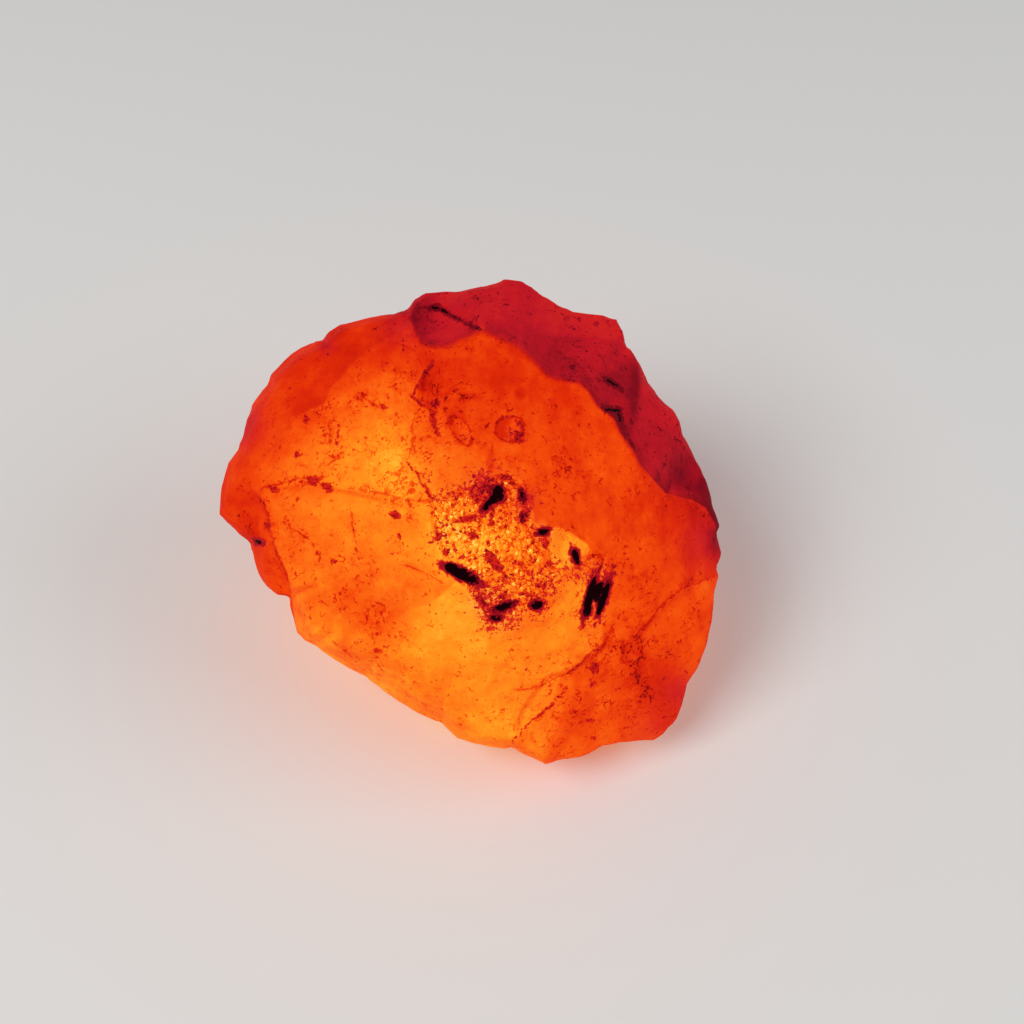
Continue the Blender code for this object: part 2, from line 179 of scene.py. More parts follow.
# Ledges: the face steps down by drop on the left of the line and comes back within reach of it.
LEDGES = {
    "speckled_step": {
        "line": [(-20.8, 2.5), (-17.0, 4.2), (-15.0, 3.7), (-12.0, 3.0), (-7.0, 1.7), (-4.0, 0.2)],
        "drop": 0.30, "reach": 4.0,
    },
    "foot_step": {
        "line": [(14.0, -11.8), (12.3, -13.4), (10.5, -14.6), (7.7, -15.5), (5.5, -18.3), (4.2, -21.3)],
        "drop": 0.6, "reach": 4.0,
    },
    "bench": {
        "line": [(13.0, -6.5), (13.6, -3.5), (11.5, -1.6), (8.6, -0.6)],
        "drop": 0.5, "reach": 3.0,
    },
    "right_crease": {
        "line": [(24.5, -5.0), (20.0, -8.0), (18.0, -10.1), (16.1, -12.1)],
        "drop": 0.35, "reach": 4.5,
    },
    "upper_scar": {
        "line": [(-3.4, 9.0), (-4.6, 11.6), (-4.2, 14.4), (-5.6, 17.2), (-8.6, 18.6)],
        "drop": 0.5, "reach": 5.0,
    },
}
LEDGE_SOFTNESS = 0.2

# Cracks: grooves of this width and depth.
CRACKS = {
    "notch": {"line": [(-5.9, 21.7), (-3.5, 21.3), (-2.5, 20.7), (-1.3, 20.2), (0.0, 19.6), (1.7, 19.1)],
              "width": 0.35, "depth": 1.1},
    "head": {"line": [(-3.6, 15.9), (-4.4, 13.8), (-4.0, 11.8), (-3.5, 10.5), (-3.8, 8.8)],
             "width": 0.4, "depth": 0.5},
    "band": {"line": [(13.2, 11.9), (14.7, 11.7), (15.5, 9.7)], "width": 0.4, "depth": 1.0},
}

# Scoops: rounded dips, as (across, up, half length, half width, turn in degrees, depth). The share of its
# size over which the wall of a scoop, or of a pit, falls.
SCOOP_WALL = (0.1, 1.0)
PIT_WALL = (0.7, 1.15)
SCOOPS = {
    "notch": (-2.2, 19.6, 4.1, 2.7, -5, 1.7),
    "ring": (-1.0, 9.2, 1.5, 0.95, -55, 0.35),
    "cup": (3.8, 9.4, 1.5, 1.4, 0, 0.6),
    "upper_dish": (-9.5, 12.5, 4.2, 2.9, 30, 0.45),
    "right_dish": (13.5, 4.5, 5.0, 3.4, -50, 0.55),
    "lower_dish": (-6.0, -10.5, 6.5, 3.6, -32, 0.6),
}

# The granular hollow in the middle of the face, whose wall falls over this distance inside its edge, and
# whose floor is lumpy.
HOLLOW = [
    (-4.2, 2.9), (-0.1, 3.5), (1.6, 4.6), (4.0, 4.9), (6.0, 3.4), (6.2, 1.6), (6.4, 0.1), (7.4, -1.3),
    (8.3, -2.8), (9.2, -4.5), (9.1, -5.9), (7.5, -7.9), (4.6, -9.5), (2.2, -9.9), (0.6, -8.2), (-0.4, -6.6),
    (-2.7, -3.6), (-3.2, -2.0), (-3.9, -0.5),
]
HOLLOW_WALL = (-0.15, 0.8)
HOLLOW_DEPTH = 0.95
GRAIN_SIZE = 1.5
GRAIN_HEIGHT = 0.45

# Pits, as (across, up, half length, half width, turn in degrees, depth).
PITS = {
    "long_slot": (-0.8, -5.1, 2.0, 0.62, -26, 1.8),
    "cave": (2.85, 2.95, 0.85, 0.6, 100, 1.8),
    "cave_tail": (1.85, 1.85, 0.95, 0.38, 45, 1.3),
    "right_cave": (5.2, 2.7, 0.85, 0.38, -80, 1.3),
    "right_cave_foot": (5.25, 0.5, 0.55, 0.3, 85, 1.0),
    "eave": (7.3, -0.9, 0.8, 0.4, 10, 1.1),
    "oval": (10.6, -3.4, 0.85, 0.36, -73, 1.2),
    "left_slot": (12.0, -7.4, 2.1, 0.42, 75, 1.8),
    "right_slot": (13.4, -7.5, 1.9, 0.36, 72, 1.8),
    "slot_neck": (12.9, -6.6, 0.8, 0.45, 60, 1.5),
    "foot_slot": (3.4, -8.4, 1.2, 0.45, 22, 1.4),
    "foot_hole": (2.6, -9.5, 0.65, 0.35, 0, 1.1),
    "bead": (6.7, -8.2, 0.65, 0.45, 5, 1.2),
    "lobe_pit": (-21.15, -1.95, 0.4, 0.25, -20, 0.8),
}

# Pits that are dark red inside, and black only from this far inside their edges.
DIM_PITS = {"right_cave": 0.16, "right_cave_foot": 0.14, "eave": 0.10, "foot_slot": 0.04, "foot_hole": 0.06}

# Broken surface: the size and depth of its scoops, large and small, in front and at the back, and of its
# ripple; how steep a scoop is; how far out the front begins, and how far out the marks are pressed in.
FRONT_FROM = (-5.0, 4.0)
FACE_FROM = (2.0, 8.0)
BOWL_STEEPNESS = 1.6
BREAK_SIZES = (9.0, 4.0)
FRONT_BREAKS = (0.30, 0.10)
BACK_BREAKS = (1.70, 0.55)
RIPPLE_SIZE = 2.4
RIPPLE_DEPTH = 0.12

# The finest relief, which the solid leaves out: chips, a fine ripple, and the grains of the hollow's
# floor.
CHIP_SIZE = 1.6
FRONT_CHIPS = 0.04
BACK_CHIPS = 0.22
FINE_RIPPLE_SIZE = 0.7
FINE_RIPPLE_DEPTH = 0.02
FINE_GRAIN_SIZE = 0.5
FINE_GRAIN_HEIGHT = 0.22

# The glow is stronger where the broken surface turns to this side and weaker where it turns away, by so much,
# less on the margins, measured against the surface around it: painted light and shade of the relief. Thin
# marks fade where the smoothed surface turns away from the face.
LIT_FROM = Vector((-0.55, -0.35, 0.75)).normalized()
LIT_SHARE = 0.45
LIT_LIMIT = 0.07
LIT_PASSES = 60
MARGIN_UNLIT = 0.75
SHEER = (0.30, 0.60)

# How brightly the stone glows, from 0 to 1, as painted light of the lamp below shining through it: over the
# face, which begins this far out, at the height of each (height, glow) on the other sides, brighter towards
# the ground, less, as painted shade, where they look up, and in soft zones of painted light and shade on the
# face as (across, up, radius, change).
GLOW_FROM = (-3.0, 2.0)
SIDE_SHADE = 0.06
FACE_GLOW = 0.49
SIDE_GLOW = [(0, 0.76), (6, 0.68), (14, 0.55), (24, 0.40), (32, 0.30), (38, 0.26)]
GLOW_ZONES = [
    (-10.0, 2.2, 11.0, 0.17), (-1.0, -9.8, 7.0, 0.27), (-5.0, -16.8, 8.0, 0.10), (5.0, -17.8, 6.0, 0.13),
    (7.0, -22.5, 3.5, 0.08), (10.5, -7.8, 4.5, 0.18), (-9.5, 9.2, 6.0, 0.08), (-7.5, 5.0, 5.0, 0.11),
    (-22.8, 9.8, 2.2, -0.12), (0.5, -1.5, 5.0, 0.16), (23.5, -1.5, 5.0, -0.14), (20.5, -18.0, 5.0, -0.12),
    (12.0, 16.0, 6.0, -0.03), (23.0, 4.0, 5.0, -0.12), (-6.5, 20.3, 3.0, -0.14), (3.5, 16.5, 5.0, -0.09),
    (2.0, 21.5, 5.0, 0.01), (-16.5, -5.0, 5.0, 0.08), (-5.5, -2.5, 4.0, 0.05), (-14.4, 17.7, 0.7, -0.10),
    (-8.5, 10.8, 3.5, 0.02), (-4.0, -10.5, 3.0, 0.05), (2.0, -19.0, 3.0, 0.05), (-9.0, -12.0, 2.5, -0.04),
    (19.5, -3.0, 4.0, 0.05), (-16.5, 0.5, 3.0, 0.05), (-17.0, 15.5, 3.0, -0.04), (2.5, 20.5, 4.0, 0.02),
    (2.2, -1.8, 1.8, 0.10), (-1.5, -0.5, 1.8, 0.08), (24.6, -2.5, 1.5, -0.10), (21.0, -17.0, 1.5, -0.10),
    (-20.3, -6.5, 2.5, 0.05), (14.0, -18.5, 4.0, 0.04), (-16.0, -11.5, 4.0, 0.10), (-11.0, -15.5, 4.0, 0.10),
    (20.0, -20.5, 2.0, -0.08), (-14.5, -13.0, 2.0, 0.06), (-9.0, -16.8, 2.5, 0.06), (-4.5, -19.3, 2.5, 0.06),
    (-1.0, -21.0, 2.0, 0.05), (-7.0, 5.2, 2.2, 0.05), (5.4, -2.4, 1.6, 0.10), (6.0, -5.6, 1.5, 0.05),
    (6.2, 6.2, 1.8, 0.04), (23.0, -9.8, 2.5, -0.04), (-5.0, 17.2, 1.6, -0.05), (-3.0, -8.2, 1.5, 0.04),
]
DAPPLE_SIZE = 5.0
DAPPLE = 0.04

# Edges of the face, where the glow changes on the right of the line, or inside it where it is closed: painted
# light and shade of the facets and steps past them. The change (lift) and the millimetres that it takes (soft)
# are given as (share of the line, value), and the change fades within reach.
EDGES = {
    "band": {
        "line": MARGINS["dark_band"]["crest"], "reach": 40.0, "lift": [(0, -0.20)],
        "soft": [(0, 0.3), (0.05, 0.12), (0.5, 0.15), (0.6, 1.0), (0.66, 1.4), (0.71, 1.0), (0.77, 0.3),
                 (0.86, 0.5), (0.92, 1.5), (1, 2.0)],
    },
    "rim": {
        "line": MARGINS["left_rim"]["crest"][:12] + [
            (-21.0, 2.4), (-20.6, 1.9), (-20.2, 0.7), (-20.0, -0.8), (-19.7, -2.1), (-19.3, -3.1),
            (-18.3, -5.3), (-17.9, -7.5), (-17.6, -9.6),
        ],
        "lift": [(0, -0.12), (0.2, -0.07), (0.28, -0.11), (0.38, -0.11), (0.5, -0.06), (0.66, -0.08),
                 (0.7, -0.13), (1, -0.15)],
        "soft": [(0, 1.6), (0.2, 1.5), (0.27, 0.3), (0.38, 0.15), (0.46, 0.4), (0.55, 1.6), (0.66, 1.2),
                 (0.69, 0.15), (1, 0.12)],
        "reach": 40.0,
    },
    "right_face": {
        "line": [
            (5.3, 4.6), (6.2, 1.6), (6.3, 0.1), (8.1, -0.4), (8.9, -0.4), (10.3, -1.1), (11.8, -2.2),
            (12.6, -3.4), (14.2, -5.0), (13.4, -9.4), (13.4, -12.2), (12.1, -13.3), (10.6, -14.5),
            (9.0, -15.2), (8.6, -17.4), (6.9, -19.4), (5.5, -20.4), (3.8, -22.5), (3.0, -24.0),
        ],
        "lift": [(0, 0.0), (0.15, 0.09), (1, 0.09)], "reach": 5.0,
        "soft": [(0, 1.5), (0.15, 0.5), (0.25, 0.15), (0.6, 0.15), (0.8, 0.2), (1, 0.3)],
    },
    "notch": {
        "line": [(-4.9, 20.9), (-5.2, 19.4), (-4.7, 18.1), (-3.7, 17.7), (-2.1, 17.8), (-0.7, 18.5),
                 (0.1, 19.2), (-1.0, 20.3), (-2.6, 21.1)],
        "lift": [(0, 0.02)], "soft": [(0, 0.3)], "reach": 4.0, "closed": True,
    },
    "upper_shelf": {
        "line": [(-4.8, 12.4), (-6.5, 14.7), (-9.0, 15.2), (-12.0, 15.7), (-13.5, 14.4)],
        "lift": [(0, 0.0), (0.2, -0.06), (0.8, -0.05), (1, 0.0)], "soft": [(0, 0.3)], "reach": 3.0,
    },
    "bench": {
        "line": [(8.1, -0.6), (8.9, -0.4), (10.3, -1.1), (11.8, -2.2), (11.9, -2.9), (10.9, -3.6),
                 (9.9, -4.6), (8.4, -4.4), (8.0, -2.6)],
        "lift": [(0, 0.16)], "soft": [(0, 0.12)], "reach": 4.0, "closed": True,
    },
    "speckled_step": {
        "line": [(-4.0, 0.8), (-6.1, 2.0), (-8.4, 2.9), (-12.0, 3.3), (-14.4, 3.2), (-16.2, 4.2), (-18.6, 3.4),
                 (-20.6, 2.5)],
        "lift": [(0, 0.0), (0.2, 0.04), (0.5, 0.07), (0.9, 0.09), (1, 0.0)],
        "soft": [(0, 0.3), (0.5, 0.15), (1, 0.3)], "reach": 3.5,
    },
    "bright_facet": {
        "line": [(0.2, -5.2), (-1.5, -5.9), (-2.7, -7.1), (-4.1, -8.1), (-6.5, -8.9), (-8.6, -9.4)],
        "lift": [(0, 0.0), (0.15, -0.10), (0.55, -0.11), (1, 0.0)], "soft": [(0, 0.15), (0.55, 0.2), (1, 1.5)],
        "reach": 3.0,
    },
    "crease": {
        "line": [(16.0, -12.2), (17.7, -10.1), (19.6, -7.9), (21.0, -6.7), (24.9, -5.3), (27.0, -4.6)],
        "lift": [(0, 0.0), (0.2, 0.05), (0.5, 0.08), (1, 0.10)], "soft": [(0, 0.5), (0.3, 0.15), (1, 0.15)],
        "reach": 3.0,
    },
    "head_scar": {
        "line": [(-5.6, 6.2), (-6.0, 7.9), (-5.7, 9.0), (-5.4, 10.7), (-4.5, 11.5), (-5.4, 12.5), (-5.2, 13.6),
                 (-4.5, 14.7), (-4.4, 16.2), (-5.0, 18.0)],
        "lift": [(0, 0.0), (0.15, -0.08), (0.8, -0.08), (1, 0.0)], "soft": [(0, 0.3), (0.8, 0.2), (1, 1.0)],
        "reach": 4.0,
    },
    "head_flake": {
        "line": [(-3.8, 16.2), (-4.6, 14.7), (-5.3, 13.5), (-5.4, 12.4), (-4.5, 11.4), (-3.6, 11.3),
                 (-3.1, 12.5), (-3.3, 14.0)],
        "lift": [(0, -0.05)], "soft": [(0, 0.12)], "reach": 4.0, "closed": True,
    },
    "upper_left": {
        "line": [(-7.5, 17.0), (-10.0, 14.6), (-13.2, 12.8), (-15.0, 10.4), (-16.4, 8.0), (-17.8, 6.0)],
        "lift": [(0, 0.0), (0.3, -0.06), (0.7, -0.05), (1, 0.0)], "soft": [(0, 1.0), (0.5, 0.6), (1, 1.5)],
        "reach": 3.0,
    },
    "band_fold": {
        "line": [(16.0, 17.7), (13.4, 18.4), (11.1, 18.6), (7.5, 18.6), (5.5, 19.1)],
        "lift": [(0, 0.0), (0.15, 0.05), (0.7, 0.05), (1, 0.0)], "soft": [(0, 0.15), (1, 0.4)], "reach": 4.0,
    },
    "band_stripe": {
        "line": [(16.3, 17.2), (16.9, 15.8), (17.1, 14.2), (16.7, 11.3), (16.3, 8.1)],
        "lift": [(0, 0.0), (0.15, -0.08), (0.85, -0.08), (1, 0.0)], "soft": [(0, 0.4)], "reach": 3.5,
    },
    "right_edge": {
        "line": [(23.4, -6.4), (23.8, -4.0), (23.5, -2.2), (23.3, 0.0), (22.6, 1.6)],
        "lift": [(0, 0.0), (0.2, -0.09), (0.8, -0.09), (1, 0.0)], "soft": [(0, 1.0)], "reach": 40.0,
    },
    "lower_facet": {
        "line": [(-15.6, -6.5), (-12.6, -8.8), (-12.8, -10.5), (-12.9, -12.3), (-12.6, -14.2)],
        "lift": [(0, 0.0), (0.3, 0.05), (1, 0.06)], "soft": [(0, 0.6), (0.5, 0.3), (1, 0.3)], "reach": 3.5,
    },
}

# What the material draws: black and dark red lines as (points, half width), dark red ovals as (across, up,
# half length, half width, turn in degrees), veins, rings, and soft ovals where the painted glow is lower, as
# (an oval, change).
BLACK_LINES = [
    ([(-4.1, 21.4), (-2.6, 21.1), (-0.9, 20.2), (0.2, 19.6), (0.9, 19.4)], 0.06),
    ([(-3.9, 21.5), (-3.0, 21.4), (-2.2, 20.9)], 0.14),
    ([(13.7, 11.3), (14.9, 11.2), (15.0, 10.2)], 0.16), ([(13.8, 14.2), (14.8, 13.6)], 0.14),
    ([(13.7, -6.4), (13.15, -7.8), (12.85, -9.0)], 0.26), ([(12.1, -7.4), (11.8, -9.0)], 0.28),
    ([(12.95, -6.4), (12.7, -7.6)], 0.34), ([(2.9, 2.8), (2.3, 2.3)], 0.46), ([(2.3, 2.2), (1.6, 1.6)], 0.30),
    ([(-2.0, -4.5), (0.3, -5.7)], 0.50),
]
RED_LINES = [
    ([(13.3, 11.5), (14.9, 11.3), (15.2, 9.8)], 0.24), ([(13.5, 14.4), (14.4, 13.9), (15.2, 13.2)], 0.26),
    ([(-6.3, 21.5), (-4.1, 21.4), (-2.6, 21.1), (-0.9, 20.2), (0.2, 19.6), (1.3, 19.3)], 0.07),
    ([(15.6, 8.9), (16.4, 7.6)], 0.12), ([(-13.1, 9.7), (-13.4, 7.7)], 0.07),
    ([(-3.7, 16.2), (-4.4, 15.1), (-5.3, 13.6), (-5.7, 12.5), (-4.6, 11.6)], 0.14),
    ([(-3.6, 11.2), (-3.5, 9.6), (-3.2, 8.8)], 0.16), ([(-17.9, -8.0), (-17.2, -10.8)], 0.05),
    ([(9.7, -16.4), (8.0, -18.5), (6.2, -19.8), (5.0, -21.0), (4.0, -22.4), (6.0, -23.3)], 0.10),
    ([(13.3, -12.4), (12.2, -12.9), (11.2, -14.0), (10.2, -14.8)], 0.08),
    ([(-6.3, 6.2), (-5.9, 5.4), (-5.2, 4.9), (-5.0, 4.0), (-4.3, 3.4), (-4.1, 2.7)], 0.10),
    ([(-4.1, 2.7), (-3.3, 2.2), (-1.7, 2.2), (-0.6, 3.2), (0.6, 3.8)], 0.06),
    ([(3.3, 10.6), (4.3, 10.5), (5.0, 9.9), (5.4, 9.0), (5.0, 8.2), (4.1, 8.0)], 0.10),
]
RED_OVALS = [
    (-0.35, 0.4, 1.1, 0.34, 10), (0.3, -1.3, 0.5, 0.36, 0), (2.4, -3.9, 1.3, 0.52, -48),
    (2.2, 0.3, 0.8, 0.25, 85), (12.5, -14.5, 0.38, 0.6, 0), (12.2, -16.1, 0.2, 0.4, 0),
    (-7.5, 0.8, 0.55, 0.42, -40), (-7.1, -1.4, 0.22, 0.34, 0), (-15.7, 4.2, 0.6, 0.5, 0),
    (-14.3, 3.5, 0.65, 0.42, -30), (-4.0, 15.6, 0.55, 0.2, 60), (-3.5, 11.9, 0.5, 0.5, 0),
    (-3.7, 10.3, 0.36, 0.75, 8), (4.9, 8.6, 0.5, 0.6, 30), (-8.7, 11.6, 0.42, 0.2, -20),
    (14.4, -4.4, 0.4, 0.25, 40), (-20.3, -0.3, 0.35, 0.3, 0), (-19.6, 3.3, 0.5, 0.3, -30),
    (12.1, -19.8, 0.3, 0.2, 0), (12.5, -21.6, 0.4, 0.2, 20), (10.3, 15.5, 0.22, 0.25, 0),
    (9.8, 14.3, 0.45, 0.12, -15), (10.9, 20.3, 0.18, 0.22, 0), (12.7, 19.9, 0.2, 0.2, 0),
    (-15.3, -3.2, 0.15, 0.3, 0), (-13.7, -3.9, 0.35, 0.25, 10), (-9.3, -12.8, 0.28, 0.22, 0),
    (3.6, -5.3, 0.25, 0.2, 0), (4.5, -3.9, 0.2, 0.2, 0), (5.0, -4.1, 0.2, 0.2, 0),
    (-16.4, 10.3, 0.3, 0.4, 0), (-17.3, 6.8, 0.35, 0.25, 0),
    (-3.1, -1.4, 0.6, 0.25, 20), (-2.4, -2.9, 0.45, 0.28, -40), (1.1, -7.8, 0.95, 0.40, -70),
    (6.9, -6.3, 0.70, 0.26, 10), (8.0, -4.1, 0.32, 0.26, 0), (7.6, -2.1, 0.28, 0.45, 0),
    (5.4, -7.1, 0.38, 0.26, 0), (3.3, -7.3, 0.50, 0.20, 10), (1.8, -2.0, 0.32, 0.20, -30),
    (4.4, -8.0, 0.55, 0.24, 25), (3.4, 4.6, 0.60, 0.30, 10), (0.9, 2.5, 0.30, 0.70, -20),
]
VEINS = [
    [(-20.6, 3.5), (-16.8, 4.5), (-14.0, 3.6)],
    [(-12.0, 3.4), (-8.4, 2.9), (-6.1, 2.1), (-4.2, 2.4)],
    [(-5.6, 10.6), (-6.0, 8.8), (-5.5, 7.0), (-4.4, 7.0)],
    [(-14.1, 9.7), (-14.0, 8.0)], [(-11.2, 12.4), (-9.8, 12.0), (-8.8, 11.3)],
    [(-12.9, 6.9), (-13.5, 6.3), (-14.2, 5.9)],
    [(-1.1, 13.4), (-2.1, 12.8), (-2.6, 12.0), (-2.5, 11.2)],
    [(-0.9, 12.8), (0.2, 12.5), (1.3, 12.9)],
    [(-21.2, 2.6), (-20.6, 1.9), (-20.2, 0.7), (-20.0, -0.8), (-19.7, -2.1), (-19.3, -3.1), (-18.3, -5.3),
     (-17.9, -7.5)],
    [(-18.4, -0.2), (-17.3, -0.9), (-16.0, -1.7), (-15.0, -3.4)],
    [(-12.0, 1.4), (-11.7, -0.8), (-11.2, -3.2)],
    [(14.2, -10.5), (13.4, -12.2), (12.2, -12.9), (10.2, -14.8), (9.0, -15.4), (6.2, -16.6), (4.8, -16.7)],
    [(15.2, -12.6), (15.8, -13.8)], [(14.2, -10.5), (15.2, -12.6), (16.2, -11.9)],
    [(17.2, -11.7), (17.2, -13.2), (16.6, -14.6), (16.8, -16.2), (18.0, -16.6)],
    [(24.9, -5.3), (21.0, -6.7), (19.6, -7.9), (17.7, -10.1), (16.2, -11.7), (14.2, -12.4)],
    [(-5.6, 8.6), (-6.3, 6.2)], [(13.6, -3.0), (12.0, -3.5), (11.6, -4.6), (12.4, -5.4)],
    [(-6.9, -4.2), (-5.2, -4.7), (-3.8, -5.3), (-2.9, -5.9)],
    [(-3.1, 15.0), (-3.3, 13.0), (-3.4, 11.9)],
]
RINGS = [(-0.9, 9.2, 1.6, 0.8, -55), (4.0, 9.4, 1.45, 1.3, 0), (12.5, -3.9, 0.85, 0.75, 0)]
GLOW_DIP_EDGE = (0.3, 1.3)
GLOW_DIPS = [
    (-4.4, 13.7, 0.75, 0.9, 0, -0.10), (-22.0, -1.3, 0.9, 1.1, 0, -0.10),
    (5.1, 12.9, 0.6, 0.7, 0, -0.10), (4.0, 9.4, 1.3, 1.2, 0, -0.05), (-13.0, -13.0, 0.7, 1.2, 0, -0.08),
    (-9.0, -9.6, 3.0, 2.2, -10, -0.06), (16.5, 13.2, 0.8, 2.6, 0, -0.05),
    (12.4, -15.0, 0.9, 1.2, 0, -0.06), (-9.3, 17.6, 3.0, 1.2, 20, -0.03),
    (1.6, 3.1, 1.6, 0.8, 60, -0.20), (5.6, 2.1, 0.8, 1.8, 0, -0.18), (2.1, 6.2, 0.5, 1.4, 0, -0.10),
    (-13.3, 19.0, 1.6, 0.8, 30, -0.06),
]

# Where a dark red crust covers the grains of the hollow, as soft zones (across, up, radius, share).
CRUST_ZONES = [
    (-3.4, -1.6, 1.1, 0.6), (-2.2, -0.4, 0.9, 0.5), (0.9, -7.2, 1.2, 0.65), (2.2, -8.6, 1.4, 0.7),
    (4.4, -8.7, 1.3, 0.65), (6.7, -8.2, 1.0, 0.8), (8.2, -6.6, 1.3, 0.6), (5.6, -5.0, 1.7, 0.45),
    (8.6, -4.2, 1.4, 0.45), (1.6, 4.0, 1.2, 0.8), (2.0, 1.4, 1.0, 0.6), (5.6, 2.4, 1.3, 0.8),
    (5.4, 0.4, 0.8, 0.7), (7.4, -1.2, 1.1, 0.7), (-3.4, 2.6, 0.9, 0.6), (-1.8, 2.9, 0.9, 0.6),
    (-4.4, 4.6, 0.9, 0.5), (0.0, 3.4, 1.0, 0.7), (2.4, -3.8, 0.7, 0.6), (0.4, -1.2, 0.7, 0.5),
    (12.2, -5.6, 1.2, 0.7), (14.3, -5.4, 0.9, 0.5), (11.6, -9.6, 0.7, 0.7), (13.2, -9.4, 0.6, 0.7),
    (12.9, -4.2, 0.8, 0.5), (10.4, -5.2, 0.9, 0.5), (1.9, -10.2, 1.0, 0.6), (4.0, -10.2, 0.9, 0.5),
    (0.6, -6.0, 0.8, 0.6), (7.2, -9.4, 0.8, 0.3), (-1.3, 0.2, 0.9, 0.3), (3.0, -6.4, 1.2, 0.5),
    (0.8, 4.9, 0.8, 0.5), (2.3, 6.0, 0.7, 0.4), (4.2, 4.6, 1.0, 0.5), (4.4, 8.9, 1.1, 0.72),
    (-0.3, 8.6, 0.8, 0.5), (5.4, -2.4, 1.4, -0.5), (2.0, -2.2, 1.0, -0.3),
]

# Where the glow is crimson and not orange, from 0 to 1: past the crest of the dark band, the painted shade of
# a side turned away from the light, in soft zones (across, up, radius, share), and on the other sides.
CRIMSON_ZONES = [
    (-22.8, 9.8, 2.4, 0.9), (-6.5, 20.3, 2.5, 0.8), (24.0, -2.0, 2.5, 0.9), (21.4, -16.8, 2.0, 0.9),
    (18.0, -21.0, 2.0, 0.8), (-14.4, 17.7, 0.8, 0.9), (1.5, 3.6, 1.5, 0.9), (5.6, 2.0, 1.2, 0.8),
    (1.4, -8.0, 1.3, 0.7), (3.2, -9.2, 1.5, 0.5), (7.3, -0.9, 1.0, 0.6),
]
CRIMSON_BEHIND = 0.4
CRIMSON_FROM = (-0.3, 0.5)

# Marks of the face end at this height, behind which they are as if this far away.
BEHIND = -1
FAR = 9

# How thick the specks lie, from 0 to 1: everywhere, and in zones of the face as (across, up, radius,
# change).
SPECKS = 0.25
SPECK_ZONES = [
    (-9.5, -9.4, 3.4, 0.75), (-9.0, 8.5, 6.0, 0.5), (-15.0, 7.0, 3.5, 0.4), (-3.0, 14.0, 3.0, 0.25),
    (17.7, -14.5, 3.2, 0.55), (9.0, -18.5, 3.5, 0.6), (16.0, -19.0, 3.5, 0.3), (-5.5, 2.8, 3.0, 0.45),
    (13.5, -13.0, 2.5, 0.5), (-18.0, 4.0, 2.5, 0.4), (17.0, -8.0, 3.5, 0.3), (8.0, 5.5, 3.0, 0.25),
    (-16.0, -2.0, 3.0, 0.3), (12.0, 17.5, 3.5, 0.2), (13.5, -5.0, 2.6, 0.5), (-6.5, -18.0, 3.0, 0.35),
    (0.5, 11.8, 2.0, 0.2), (-14.0, -5.5, 2.5, 0.25), (11.0, 4.6, 1.4, 0.7), (9.5, 5.0, 1.4, 0.3),
    (-6.0, 4.5, 2.5, 0.3), (1.5, -15.5, 3.0, -0.2), (-12.5, 0.0, 2.2, -0.3), (6.0, 14.0, 3.5, -0.15),
    (7.0, -21.0, 2.5, 0.4), (-6.5, 6.0, 3.0, 0.3), (-17.5, 14.5, 3.5, -0.5), (-22.5, 8.0, 3.5, -0.5),
    (-11.0, 18.5, 3.5, -0.4), (-5.0, -12.0, 3.5, -0.2), (13.0, 0.0, 3.0, -0.3), (20.0, -1.5, 3.0, -0.2),
    (6.0, 18.0, 4.0, -0.4), (-9.5, 3.0, 1.8, 0.5), (-6.3, 2.2, 1.5, 0.5), (-10.5, -13.5, 2.5, 0.3),
    (15.5, -11.8, 1.6, 0.4),
]


# ---------------------------------------------------------------------------- the surface of the stone


def ramp(value, low, high):
    """0 below low, 1 above high and a smooth curve between."""
    share = np.clip((value - low) / (high - low), 0, 1)
    return share * share * (3 - 2 * share)


def softly_above(value, foot):
    """The value, which levels off at the foot where it would fall below it."""
    over = value - foot
    return foot + (over + np.sqrt(over * over + 1.0)) / 2


def swell(points, size, seed):
    """Smooth noise, from about -1 to 1, whose swells are this many millimetres across."""
    shift = Vector((17.3, -9.1, 5.7)) * seed
    return np.array([noise.noise(Vector(point) / size + shift) for point in points])


def fading(along, ends):
    """1 along a line, and 0 at both its ends."""
    return ramp(along, 0, ends) * ramp(1 - along, 0, ends)


def bowls(points, size, seed):
    """Shallow bowls of this size: 1 in the middle of each, down to 0 on the sharp ridges where they meet."""
    shift = Vector((3.1, 11.9, -7.7)) * seed
    squares = np.array([noise.voronoi(Vector(point) / size + shift)[0][0] ** 2 for point in points])
    return np.maximum(1 - BOWL_STEEPNESS * squares, 0)


def radius_of(outline, angle):
    """How far an outline is from the middle at each angle round it."""
    corners = np.array(outline, float)
    turns = np.arctan2(corners[:, 1], corners[:, 0])
    order = np.argsort(turns)
    return np.interp(angle, turns[order], np.hypot(*corners.T)[order], period=2 * math.pi)


def line_distance(across, up, line):
    """Distance from a line of several points, positive on its left, and how far along it, from 0 to 1."""
    corners = np.array(line, float)
    runs = np.diff(corners, axis=0)
    lengths = np.hypot(*runs.T)
    starts = np.concatenate([[0], np.cumsum(lengths)])
    nearest = np.full(len(across), 1e9)
    distance, along = np.zeros(len(across)), np.zeros(len(across))
    for (x, y), (dx, dy), length, start in zip(corners, runs, lengths, starts):
        share = np.clip(((across - x) * dx + (up - y) * dy) / length**2, 0, 1)
        away = np.hypot(across - x - share * dx, up - y - share * dy)
        beside = (dx * (up - y) - dy * (across - x)) / length
        # At a corner two runs are as near, and the one that the point is more beside gives the side.
        score = away + 0.001 * (away - np.abs(beside))
        closer = score < nearest
        nearest = np.where(closer, score, nearest)
        distance = np.where(closer, away * np.sign(beside), distance)
        along = np.where(closer, (start + share * length) / starts[-1], along)
    return distance, along


